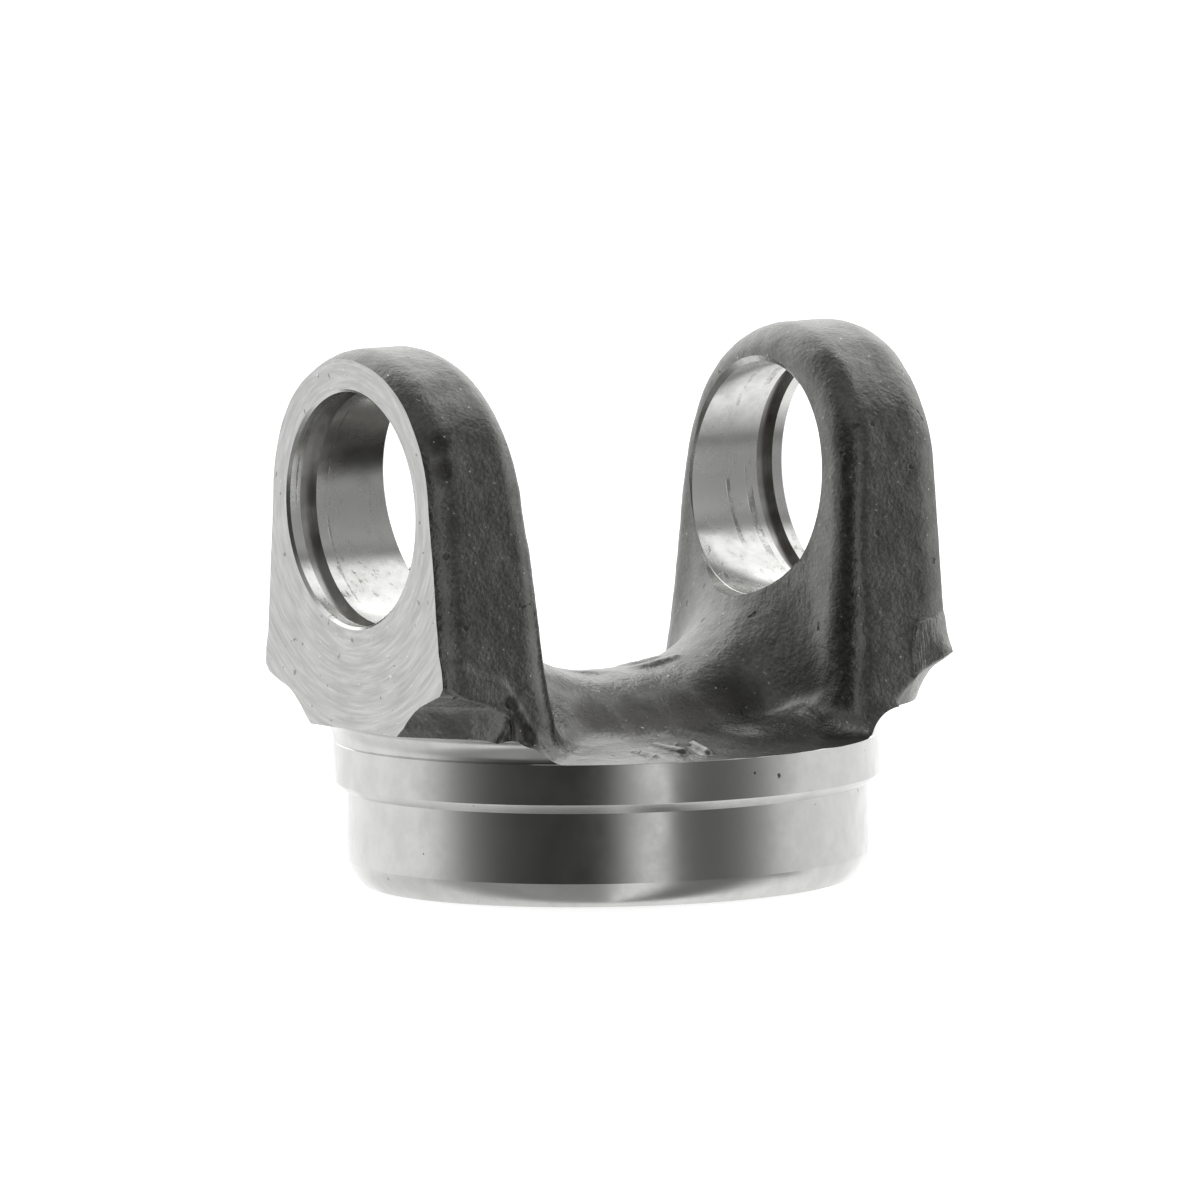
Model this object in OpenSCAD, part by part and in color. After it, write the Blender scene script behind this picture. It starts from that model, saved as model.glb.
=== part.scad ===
// Forged weld yoke for a driveshaft tube.
// Z runs along the shaft and up, X along the cross bores. The origin is the centre of the tube end,
// so the part stands on z = 0 with its two ears upward.

/* [Tube end] */
// Diameter of the shoulder that the tube butts against
shoulder_d = 75; // [70:0.5:90]
// Diameter of the pilot that the tube is pressed over
pilot_d = 71.6; // [66:0.1:73.5]
// Height of the pilot, from the bottom edge to the shoulder
pilot_h = 13; // [9:0.5:20]
// Height of the rounded lead-in at the bottom of the pilot
lead_h = 3.4; // [1:0.1:5]
// Radius of the rounded lead-in
lead_r = 6.5; // [5.2:0.1:12]
// Height of the turned band above the pilot
band_h = 6.8; // [4:0.1:12]
// Chamfer at the lower corner of the turned band, where the weld runs
weld_chamfer = 1.3; // [0.3:0.1:1.6]
// Radius of the hollow that the turning tool leaves under the ears
neck_r = 3.3; // [1.5:0.1:5]
// Rise of the forged ledge from the edge of the band to its middle
ledge_rise = 1.6; // [0.2:0.1:3]

/* [Hollow underneath] */
// Diameter of the forged hollow at its mouth
hollow_d = 53; // [30:0.5:60]
// Depth of the hollow
hollow_h = 16.5; // [6:0.5:19]
// Draft of the wall of the hollow, in degrees
hollow_draft = 7; // [1:0.5:15]
// Corner radius at the top of the hollow
hollow_corner_r = 6; // [1:0.5:8]
// Chamfer at the mouth of the hollow
hollow_chamfer = 1; // [0.2:0.1:2]

/* [Ears] */
// Distance across the two machined outer faces
face_span = 81.6; // [74:0.2:100]
// Distance between the inner faces at the height of the bores
ear_gap = 50.2; // [40:0.2:60]
// Radius of the rounded sides of an ear about its bore
crown_r = 21.1; // [19:0.1:25]
// Height that the top of an ear stands above that radius
crown_rise = 0.7; // [0:0.05:2]
// Draft of the side faces of an ear, in degrees
side_draft = 5.7; // [0:0.1:7]
// Lean of the inner face of an ear, in degrees
inner_lean = 5.5; // [0:0.1:9]
// Offset of the right-hand ear to the front, left by dies that did not quite meet
ear_offset = 1.2; // [0:0.1:2]
// Radius of the forged edge that the outer face is milled through
outer_edge_r = 7; // [3:0.5:9]
// Slope of that edge where the milled face cuts it, in degrees
outer_edge_slope = 35; // [10:1:60]
// Radius of the forged edge round the inner face
inner_edge_r = 3.8; // [1:0.1:6]
// Radius where an ear grows out of the ledge
root_r = 6; // [1:0.1:7]

/* [Cross bores] */
// Height of the bore centre above the bottom edge
bore_z = 53.5; // [50:0.1:65]
// Diameter of the cross bores
bore_d = 32; // [24:0.1:36]
// Width of the lip between the outer face and the ring groove
lip_w = 2; // [0.8:0.1:3]
// Width of the groove for the retaining ring
groove_w = 2.6; // [1.2:0.1:3]
// Depth of the groove for the retaining ring
groove_depth = 1.2; // [0.5:0.1:2.5]
// Chamfer at the outer mouth of a bore
mouth_chamfer = 0.4; // [0.1:0.05:1]
// Chamfer at the inner mouth of a bore, square to the leaning face
inner_chamfer = 0.5; // [0.1:0.05:1]

/* [Saddle] */
// Height of the middle of the saddle above the bottom edge
saddle_z = 28.8; // [25:0.1:36]
// Radius of the rounded back of the saddle, front to rear
saddle_back_r = 15; // [10:0.5:18]
// Radius of the corner where the saddle bends up into an ear
saddle_corner_r = 18; // [12:0.5:20]
// Length of the straight floor of the saddle between its two corners
saddle_floor = 8.8; // [2:0.2:14]
// Offset of the saddle toward the right-hand ear
saddle_offset = 0.8; // [0:0.1:2]
// Radius in the corner between the side of the saddle and an ear
saddle_side_r = 9; // [2:0.5:10]
// Radius where the saddle stands on the ledge
saddle_foot_r = 4; // [1:0.1:5]

/* [Flash corners] */
// How far a trimmed flash corner stands out from the side of an ear
flash_out = 1.4; // [0.4:0.1:3]
// Height of the tip of a flash corner above the bottom edge
flash_z = 30.6; // [29:0.1:34]
// Height of a flash corner from its tip to its upper end
flash_h = 4.6; // [2:0.1:8]
// Thickness of a flash corner, measured in from the milled face
flash_t = 5; // [2:0.1:9]
// Distance from the centre to the axis that the pockets under the ears are turned about
pocket_x = 17; // [10:0.5:22]
// Radius of the pocket under the left-hand ear, where it is steepest
left_pocket_r = 27; // [25:0.1:31]
// Radius of the pocket under the right-hand ear, where it is steepest
right_pocket_r = 29; // [25:0.1:31]

/* [Hidden] */
forged = "#5c5c5b";
shoulder_r = shoulder_d / 2;
pilot_r = pilot_d / 2;
band_top = pilot_h + band_h;
face_x = face_span / 2;
inner_x = ear_gap / 2;
bore_r = bore_d / 2;
groove_x = face_x - lip_w - groove_w;
// Stock that is turned or milled away, the reach of a cutter past what it cuts, its reach below the
// part, and the side of a block that is larger than the part
stock = 2;
over = 0.5;
below = 1;
far = 100;
// Facets of the forged surfaces
arc_steps = 25;
side_steps = 7;
edge_steps = 4;
bend_steps = 13;
end_steps = 5;
slice_steps = 12;
hub_steps = 4;
fine = 96;

// Points on an arc about a centre, from one angle to another
function arc(centre, r, from, to, steps) = [for (i = [0 : steps])
    let (a = from + (to - from) * i / steps) centre + r * [cos(a), sin(a)]];

// EAR
// Flare of an ear near the ledge, and the distance of its inner face from the middle at a height
function root_flare(z) = z >= band_top + root_r ? 0
    : root_r - sqrt(pow(root_r, 2) - pow(min(root_r, band_top + root_r - z), 2));
function inner_at(z) = inner_x + (z - bore_z) * tan(inner_lean) - root_flare(z);

// Half the width of an ear at a height, for an outline drawn in by an inset
function half_width(z, inset) =
    (crown_r - inset) / cos(side_draft) + (bore_z - z) * tan(side_draft) + root_flare(z);

// Heights at which the side of an ear gets points, from inside the hub up to where the crown begins
ear_low = pilot_h + 2;
root_z = band_top + root_r;
crown_z = bore_z + crown_r * sin(side_draft);
side_heights = concat(
    [ear_low],
    [for (k = [0 : 2]) band_top + root_r * (1 - cos(30 * k))],
    [for (k = [0 : side_steps - 1]) root_z + (crown_z - root_z) * k / side_steps]);

// Outline of an ear seen along X: up one side, over the crown and down the other side.
// The crown is a little higher than it is wide.
function ear_side(inset) = [for (z = side_heights) [half_width(z, inset), z]];
function crown(inset) = [for (i = [0 : arc_steps])
    let (a = side_draft + (180 - 2 * side_draft) * i / arc_steps)
    let (r = crown_r + crown_rise * pow(sin(a), 2) - inset) [r * cos(a), bore_z + r * sin(a)]];
function flip(points) = [for (i = [len(points) - 1 : -1 : 0]) [-points[i][0], points[i][1]]];
function ear_outline(inset) = concat(ear_side(inset), crown(inset), flip(ear_side(inset)));

// Layers of an ear from the outer face inward. Each has its inset, and its distance from the outer
// face or, past the middle, from the leaning inner face.
outer_layers = [for (k = [0 : edge_steps]) let (a = outer_edge_slope * (1 - k / edge_steps))
    [outer_edge_r * (1 - cos(a)), outer_edge_r * (sin(outer_edge_slope) - sin(a)) - over, true]];
inner_layers = [for (k = [0 : edge_steps]) let (a = 90 * k / edge_steps)
    [inner_edge_r * (1 - cos(a)), inner_edge_r * (1 - sin(a)), false]];
ear_layers = concat(outer_layers, inner_layers);
function ear_layer(layer) = [for (p = ear_outline(layer[0]))
    [layer[2] ? face_x - layer[1] : inner_at(p[1]) + layer[1], p[0], p[1]]];

// A stack of closed outlines with n points each, capped at both ends by strips across the outline
function wall_faces(rows, n) = [for (j = [0 : rows - 2]) for (i = [0 : n - 1]) for (t = [0, 1])
    let (a = j * n + i, b = j * n + (i + 1) % n) t == 0 ? [a, b + n, a + n] : [a, b, b + n]];
function cap_faces(first, n, front) = [for (i = [0 : n / 2 - 2]) for (t = [0, 1])
    let (a = first + i, b = a + 1, c = first + n - 2 - i, d = c + 1)
        front ? (t == 0 ? [c, b, a] : [d, c, a]) : (t == 0 ? [a, b, c] : [a, c, d])];

module loft(rings) {
    n = len(rings[0]);
    last = (len(rings) - 1) * n;
    polyhedron(
        points = [for (ring = rings) each ring],
        faces = concat(wall_faces(len(rings), n), cap_faces(0, n, true), cap_faces(last, n, false)),
        convexity = 6);
}

// Sheared-off flash at the lower corners of the milled face
module flash_corners() {
    inset = outer_edge_r * (1 - cos(outer_edge_slope));
    top = flash_z + flash_h;
    root = 3;
    side = half_width(flash_z, inset);
    outline = [
        [side - root, top],
        [half_width(top, inset), top],
        [half_width(top, inset) + flash_out / 4, top - 0.5],
        [side + flash_out / 2, flash_z + flash_h / 3],
        [side + flash_out, flash_z],
        [side + flash_out / 2, flash_z - 1],
        [side - root, flash_z - 4]];
    for (s = [-1, 1]) translate([face_x - flash_t, 0, 0]) scale([1, s, 1])
        rotate([90, 0, 90]) linear_extrude(flash_t + over) polygon(outline);
}

// The lower die leaves a dished pocket under each ear, a surface turned about an upright axis. It
// starts a little way out from that axis, so that it spares the foot of the saddle.
pocket_start = 7;
module ear_pocket(steep_r) {
    rise = band_top + neck_r;
    section = [
        [steep_r - 3.2, ear_low - 1],
        [steep_r - 3.2, rise - 0.6],
        [steep_r - 2, rise - 0.2],
        [steep_r - 0.8, rise + 0.4],
        [steep_r - 0.1, rise + 1.4],
        [steep_r + 0.5, rise + 2.7],
        [steep_r + 1.2, rise + 3.9],
        [steep_r + 2.2, rise + 5],
        [steep_r + 4, rise + 6.1],
        [steep_r + 5.6, rise + 7.5],
        [steep_r + 7, rise + 9],
        [steep_r + 12, rise + 10],
        [steep_r + 12, ear_low - 1]];
    intersection() {
        translate([pocket_x, 0, 0]) rotate_extrude($fn = fine) polygon(section);
        translate([pocket_x + pocket_start, -far / 2, 0]) cube(far);
    }
}

module ear(offset, steep_r) {
    difference() {
        translate([0, -offset, 0]) union() {
            loft([for (layer = ear_layers) ear_layer(layer)]);
            flash_corners();
        }
        ear_pocket(steep_r);
    }
}

// SADDLE
// The saddle is a round-backed bar bent into a U between the ears. It is laid out in upright slices
// across the bar. The top of a slice lies on the U, and its sides go down to the ledge.
end_angle = 80;
end_reach = 3.2;
end_rise = 2;
corner_x = saddle_floor / 2;
corner_z = saddle_z + saddle_corner_r;
bend = [for (k = [0 : bend_steps]) let (a = end_angle * k / bend_steps)
    [corner_x + saddle_corner_r * sin(a), corner_z - saddle_corner_r * cos(a)]];
bend_end = bend[bend_steps];
half_path = concat(bend, [for (k = [1 : end_steps])
    [bend_end[0] + end_reach * k / end_steps, bend_end[1] + end_rise * sin(90 * k / end_steps)]]);
saddle_path = concat(
    [for (i = [len(half_path) - 1 : -1 : 0]) [-half_path[i][0], half_path[i][1]]],
    half_path);

// Depth of a place below the U, half the width of the round back there, and the height of the ledge
function depth_at(x, z) = x < corner_x ? saddle_z - z : norm([x - corner_x, corner_z - z]) - saddle_corner_r;
function back_width(depth) =
    sqrt(pow(saddle_back_r, 2) - pow(saddle_back_r - min(max(depth, 0), saddle_back_r), 2));
function ledge_at(r) = band_top + ledge_rise * (1 - pow(r / shoulder_r, 2));

// Growth of a width near a surface that it meets at right angles, by the radius of the fillet
function fillet(gap, r) = gap >= r ? 0 : r - sqrt(pow(r, 2) - pow(r - max(gap, 0), 2));

// Half the width of a slice at a height, with its fillets to the ear and to the ledge. Each fillet
// stops just short of lying flat on what it meets.
least_gap = 0.9;
least_rise = 0.3;
function slice_width(x, z) =
    let (across = x + saddle_offset)
    let (width = back_width(depth_at(abs(x), z)))
    let (gap = max(inner_at(z) - abs(across), least_gap))
    width * (1 + fillet(gap, saddle_side_r) / saddle_back_r)
        + fillet(z - ledge_at(norm([across, width])) + least_rise, saddle_foot_r);

// One side of a slice, with its points close together at the back and at the foot
slice_low = band_top + 0.6;
slice_end = band_top - 3;
function slice_side(x, top) = concat(
    [for (j = [1 : slice_steps]) let (z = top - (top - slice_low) * (1 - cos(180 * j / slice_steps)) / 2)
        [slice_width(x, z), z]],
    [[slice_width(x, slice_low), slice_end]]);

module saddle() {
    loft([for (p = saddle_path) let (side = slice_side(p[0], p[1]))
        [for (q = concat(flip(side), side)) [p[0] + saddle_offset, q[0], q[1]]]]);
}

// HUB
module hub_blank() {
    rim = shoulder_r + stock;
    rotate_extrude($fn = fine) polygon(concat(
        [[0, 0], [rim, 0]],
        [for (k = [0 : hub_steps]) let (r = rim * (1 - k / hub_steps)) [r, ledge_at(r)]]));
}

// Everything that the lathe takes off the outside, from the lead-in to the hollow under the ears
module turning() {
    bend_in = 14;
    centre = [pilot_r - lead_r * cos(bend_in), lead_h + lead_r * sin(bend_in)];
    start = asin(centre[1] / lead_r);
    foot = centre[0] + lead_r * cos(start);
    rotate_extrude($fn = fine) polygon(concat(
        [[foot - below, -below]],
        arc(centre, lead_r, -start, -bend_in, 4),
        [[pilot_r, pilot_h], [shoulder_r - weld_chamfer, pilot_h], [shoulder_r, pilot_h + weld_chamfer]],
        arc([shoulder_r + neck_r, band_top], neck_r, 180, 90, 5),
        [[far, band_top + neck_r], [far, -below]]));
}

// Forged hollow under the saddle
module hollow() {
    mouth_r = hollow_d / 2;
    roof_r = mouth_r - hollow_h * tan(hollow_draft);
    corner = [roof_r - hollow_corner_r, hollow_h - hollow_corner_r];
    rotate_extrude($fn = fine) polygon(concat(
        [[0, -below], [mouth_r + hollow_chamfer + below, -below], [mouth_r, hollow_chamfer]],
        arc(corner, hollow_corner_r, 0, 90, 6),
        [[0, hollow_h]]));
}

// CROSS BORES
// All that is bored along X, mirrored about the middle: the bore, its ring groove, the chamfer at
// its outer mouth and the chamfer at its inner mouth, which leans with the face. The cone that cuts
// that chamfer starts this deep in the bore and ends just past the face. It sits higher than the bore,
// so that it takes nothing off at the bottom, where the saddle comes up.
inner_deep = 1.5;
inner_skim = 0.2;
module cross_bores() {
    translate([0, 0, bore_z]) {
        rotate([0, 90, 0]) cylinder(r = bore_r, h = face_span + 4 * over, center = true, $fn = fine);
        for (s = [0, 180]) rotate([0, 0, s]) {
            translate([groove_x, 0, 0]) rotate([0, 90, 0])
                cylinder(r = bore_r + groove_depth, h = groove_w, $fn = fine);
            translate([face_x - mouth_chamfer, 0, 0]) rotate([0, 90, 0])
                cylinder(r1 = bore_r, r2 = bore_r + mouth_chamfer + over, h = mouth_chamfer + over,
                    $fn = fine);
            translate([inner_x, 0, inner_chamfer]) rotate([0, inner_lean - 90, 0])
                translate([0, 0, -inner_deep])
                cylinder(r1 = bore_r + inner_chamfer - inner_deep, r2 = bore_r + inner_chamfer + inner_skim,
                    h = inner_deep + inner_skim, $fn = fine);
        }
    }
}

module milled_faces() {
    for (s = [0, 180]) rotate([0, 0, s]) translate([face_x, -far / 2, 0]) cube(far);
}

module yoke() {
    color(forged) difference() {
        union() {
            ear(ear_offset, right_pocket_r);
            rotate([0, 0, 180]) ear(0, left_pocket_r);
            saddle();
            hub_blank();
        }
        turning();
        hollow();
        milled_faces();
        cross_bores();
    }
}

yoke();
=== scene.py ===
"""Looks of a forged yoke: its forged skin, its machined surfaces, and a plain pale studio.

Sizes in the classes are in millimetres and written to the meshes in metres. X runs along the cross
bores, Z along the shaft and up, and the origin is the centre of the bottom edge. A place is X, Y, Z.
"""

import logging
import math
from collections.abc import Callable
from dataclasses import dataclass
from enum import Enum

import bpy
import numpy as np
from mathutils import Matrix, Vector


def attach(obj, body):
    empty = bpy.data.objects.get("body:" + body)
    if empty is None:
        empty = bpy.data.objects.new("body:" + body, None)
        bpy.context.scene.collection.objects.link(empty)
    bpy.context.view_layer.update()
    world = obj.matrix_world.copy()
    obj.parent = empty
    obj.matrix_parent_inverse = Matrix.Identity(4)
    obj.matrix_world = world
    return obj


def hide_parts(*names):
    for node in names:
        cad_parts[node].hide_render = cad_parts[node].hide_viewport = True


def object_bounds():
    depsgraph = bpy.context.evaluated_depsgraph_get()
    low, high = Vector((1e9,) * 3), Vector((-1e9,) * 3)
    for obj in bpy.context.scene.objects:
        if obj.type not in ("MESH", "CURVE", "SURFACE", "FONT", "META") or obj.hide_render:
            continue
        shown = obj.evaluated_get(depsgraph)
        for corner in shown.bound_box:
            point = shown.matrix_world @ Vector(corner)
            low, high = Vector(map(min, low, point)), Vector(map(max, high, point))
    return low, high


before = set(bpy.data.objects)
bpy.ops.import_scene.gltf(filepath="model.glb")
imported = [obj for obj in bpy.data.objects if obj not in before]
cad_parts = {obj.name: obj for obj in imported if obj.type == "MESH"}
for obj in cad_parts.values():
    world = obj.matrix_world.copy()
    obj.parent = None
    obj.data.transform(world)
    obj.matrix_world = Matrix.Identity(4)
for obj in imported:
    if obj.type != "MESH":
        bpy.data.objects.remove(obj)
cad_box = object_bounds()

LOG = logging.getLogger("yoke")
MM = 0.001
NODE = "yoke"
BODY = "root"

Array = np.ndarray
Socket = bpy.types.NodeSocket


class Finish(Enum):
    """The finishes of the yoke, in the order of the material slots of its mesh."""

    FORGED = 0
    TURNED = 1
    MILLED = 2
    BORED = 3
    GROOVED = 4


class Axis(Enum):
    """The axis that a profile is turned about."""

    X = 0
    Z = 2


# SHAPE HELPERS


def smooth_join(a: Array, b: Array, blend: Array | float) -> Array:
    """Joins two solids with a fillet.

    The lesser of the two distances, lowered where they are nearly equal by a quarter of the squared
    overlap over the blend.

    Args:
        a: Signed distance to the first solid, negative inside.
        b: Signed distance to the second solid.
        blend: Reach of the fillet in mm, about 1.2 times its radius.

    Returns:
        Signed distance to the joined solid.
    """
    share = np.maximum(blend - np.abs(a - b), 0.0) / blend
    return np.minimum(a, b) - share * share * blend / 4


def round_overlap(a: Array, b: Array, radius: Array | float) -> Array:
    """Keeps what two solids share, and rounds the edge between their faces.

    Both faces are drawn in by the radius, and the distance from the edge where they cross is taken
    back to it.

    Args:
        a: Signed distance to the first solid, negative inside.
        b: Signed distance to the second solid.
        radius: Radius of the edge in mm.

    Returns:
        Signed distance to the shared solid.
    """
    u = a + radius
    v = b + radius
    return np.minimum(np.maximum(u, v), 0.0) + np.hypot(np.maximum(u, 0.0), np.maximum(v, 0.0)) - radius


def ramp(value: Array, start: float, end: float) -> Array:
    """Rises smoothly from 0 at start to 1 at end, by three squares less two cubes of the share."""
    share = np.clip((value - start) / (end - start), 0.0, 1.0)
    return share * share * (3 - 2 * share)


def lump_noise(points: Array, size: float, seed: int) -> Array:
    """Smooth random lumps of one size.

    Random values sit on a cubic lattice that repeats, and between them the eight nearest are mixed
    by smooth shares.

    Args:
        points: Places in mm, one row each.
        size: Distance between lattice points in mm.
        seed: Seed of the random values.

    Returns:
        One value from -1 to 1 for each point.
    """
    count = 48
    lattice = np.random.default_rng(seed).uniform(-1, 1, (count, count, count))
    place = points / size + 1000.5
    cell = np.floor(place).astype(int)
    share = place - cell
    share = share * share * (3 - 2 * share)
    total = np.zeros(len(points))
    for corner in np.ndindex(2, 2, 2):
        index = (cell + corner) % count
        weight = np.prod(np.where(np.array(corner) == 1, share, 1 - share), axis=1)
        total += weight * lattice[index[:, 0], index[:, 1], index[:, 2]]
    return total


@dataclass
class Surface:
    """A closed mesh as arrays: corner points in mm, faces, and the finish of each face."""

    points: Array
    faces: list
    finishes: Array

    def to_object(self, name: str) -> bpy.types.Object:
        """Makes the Blender object, in metres, with the finish as its material index.

        Args:
            name: Name of the object and of its mesh.

        Returns:
            The object, linked to the scene.
        """
        mesh = bpy.data.meshes.new(name)
        mesh.from_pydata(self.points * MM, [], self.faces)
        mesh.polygons.foreach_set("material_index", self.finishes.astype(np.int32))
        mesh.update()
        piece = bpy.data.objects.new(name, mesh)
        bpy.context.scene.collection.objects.link(piece)
        return piece


def turned_solid(profile: list, finishes: list, steps: int, closed: bool, axis: Axis) -> Surface:
    """Carries a profile round an axis.

    Point (i, j) is profile point i turned by the angle 2 pi j / steps. An open profile is closed by a
    flat cap at each end.

    Args:
        profile: (radius, height) pairs in mm, in order.
        finishes: Finish of each stretch from one profile point to the next.
        steps: Number of facets round the axis.
        closed: Whether the last point joins the first.
        axis: The axis to turn about.

    Returns:
        The closed surface, facing outwards for a profile that climbs on its outer side.
    """
    outline = np.array(profile, float)
    angle = 2 * np.pi * np.arange(steps) / steps
    ring = np.stack([np.cos(angle), np.sin(angle)], 1)
    across = outline[:, None, :1] * ring[None]
    height = np.broadcast_to(outline[:, None, 1:], (len(outline), steps, 1))
    order = [across, height] if axis is Axis.Z else [height, across]
    points = np.concatenate(order, 2).reshape(-1, 3)
    rows = len(outline) if closed else len(outline) - 1
    i, j = np.meshgrid(np.arange(rows), np.arange(steps), indexing="ij")
    near = i * steps
    far = (i + 1) % len(outline) * steps
    after = (j + 1) % steps
    faces = np.stack([near + j, near + after, far + after, far + j], 2).reshape(-1, 4).tolist()
    marks = np.repeat([finish.value for finish in finishes], steps)
    if not closed:
        faces.append(list(range(steps))[::-1])
        faces.append(list(range((len(outline) - 1) * steps, len(outline) * steps)))
        marks = np.append(marks, [finishes[0].value, finishes[-1].value])
    return Surface(points, faces, marks)


def arc(centre: tuple, radius: float, start: float, end: float, steps: int) -> list:
    """Points along an arc: the centre plus the radius times the cosine and sine of each angle.

    Args:
        centre: (radius, height) of the centre in mm.
        radius: Radius of the arc in mm.
        start: First angle in degrees.
        end: Last angle in degrees.
        steps: Number of stretches between the points.

    Returns:
        (radius, height) pairs in mm.
    """
    angle = np.radians(np.linspace(start, end, steps + 1))
    across = centre[0] + radius * np.cos(angle)
    height = centre[1] + radius * np.sin(angle)
    return list(zip(across.tolist(), height.tolist()))


def level_surface(distance: Callable[[Array], Array], low: Array, high: Array, cell: float) -> tuple:
    """The surface where a signed distance is zero, as a mesh of squares.

    The distance is taken on a grid. Each cell that the surface crosses gets one point, the mean of
    the places where it crosses the cell's edges, and each grid edge that it crosses gets one face
    between the points of the four cells round it.

    Args:
        distance: Function from an array of points to their signed distances.
        low: Lowest corner of the grid in mm.
        high: Highest corner.
        cell: Width of a cell in mm.

    Returns:
        The points, one row each, and the faces, four point numbers each.
    """
    count = np.ceil((high - low) / cell).astype(int) + 1
    axes = [low[k] + cell * np.arange(count[k]) for k in range(3)]
    value = np.empty(count, np.float32)
    y, z = np.meshgrid(axes[1], axes[2], indexing="ij")
    for i, x in enumerate(axes[0]):
        value[i] = distance(np.stack([np.full_like(y, x), y, z], 2))
    inside = value < 0
    filled = np.zeros(count - 1, np.int8)
    for corner in np.ndindex(2, 2, 2):
        part = tuple(slice(c, n - 1 + c) for c, n in zip(corner, count))
        filled += inside[part]
    cells = np.argwhere((filled > 0) & (filled < 8))
    number = np.full(count - 1, -1, np.int64)
    number[tuple(cells.T)] = np.arange(len(cells))
    total = np.zeros((len(cells), 3))
    crossings = np.zeros(len(cells))
    for axis in range(3):
        for offset in np.ndindex(2, 2):
            start = np.insert(np.array(offset), axis, 0)
            end = np.insert(np.array(offset), axis, 1)
            a = value[tuple((cells + start).T)]
            b = value[tuple((cells + end).T)]
            crossed = (a < 0) != (b < 0)
            share = np.where(crossed, a / np.where(crossed, a - b, 1.0), 0.0)
            place = cells + start + share[:, None] * (end - start)
            total += place * crossed[:, None]
            crossings += crossed
    points = low + cell * total / crossings[:, None]
    faces = []
    for axis in range(3):
        ahead = np.diff(inside.astype(np.int8), axis=axis)
        edges = np.argwhere(ahead != 0)
        second, third = (axis + 1) % 3, (axis + 2) % 3
        safe = np.all([(edges[:, k] > 0) & (edges[:, k] < count[k] - 1) for k in (second, third)], axis=0)
        edges = edges[safe]
        leaving = ahead[tuple(edges.T)] < 0
        ring = []
        for down in ((1, 1), (0, 1), (0, 0), (1, 0)):
            near = edges.copy()
            near[:, second] -= down[0]
            near[:, third] -= down[1]
            ring.append(number[tuple(near.T)])
        quad = np.stack(ring, 1)
        faces.append(np.where(leaving[:, None], quad, quad[:, ::-1]))
    return points, np.concatenate(faces).tolist()


# THE FORGED BLANK


@dataclass(frozen=True)
class Rod:
    """A straight rod with round ends, which stands out of the skin or is sunk into it.

    Attributes:
        start: Place of one end of its middle line.
        end: Place of the other end.
        start_r: Radius at the start.
        end_r: Radius at the end.
    """

    start: tuple
    end: tuple
    start_r: float
    end_r: float

    def distance(self, x: Array, y: Array, z: Array) -> Array:
        """Distance to the rod: to the nearest point of its middle line, less the radius there.

        Args:
            x: First coordinate of each place in mm.
            y: Second coordinate.
            z: Third coordinate.

        Returns:
            Signed distance, negative inside.
        """
        run = np.subtract(self.end, self.start)
        place = (x - self.start[0], y - self.start[1], z - self.start[2])
        along = sum(a * b for a, b in zip(place, run)) / np.dot(run, run)
        share = np.clip(along, 0.0, 1.0)
        away = [a - share * b for a, b in zip(place, run)]
        length = np.sqrt(away[0] ** 2 + away[1] ** 2 + away[2] ** 2)
        return length - self.start_r - (self.end_r - self.start_r) * share


@dataclass(frozen=True)
class Ear:
    """One ear as it left the dies, before milling and boring. Out is the distance along its side of X.

    Attributes:
        side: -1 for the left ear, 1 for the right ear.
        inner_x: Out to the inner face at the height of the bores.
        inner_slope: How much further out the inner face lies for each mm of height.
        inner_bow: How much further out again for each square mm of height.
        offset_y: Offset of the ear along Y, left by dies that did not quite meet.
        crown_rise: Height that the top of the crown stands above a true circle.
        flash_x: Out along the slanting upper edge of the sheared flash.
        flash_z: Height of that edge at each of them.
        flash_proud: How far the sheared flash stands out of the flank.
        tip_out: How far the tip of the flash stands out at the milled face.
        tip_top: Height at which that tip begins.
        tip_span: Height over which it grows.
        sheared: How plainly the shear marks show, from 0 to 1.
        pocket_r: Distance from the upright axis of the pocket under the ear.
        pocket_z: Height of the pocket's roof at each of them.
    """

    side: int
    inner_x: float
    inner_slope: float
    inner_bow: float
    offset_y: float
    crown_rise: float
    flash_x: tuple
    flash_z: tuple
    flash_proud: float
    tip_out: float
    tip_top: float
    tip_span: float
    sheared: float
    pocket_r: tuple
    pocket_z: tuple


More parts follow.
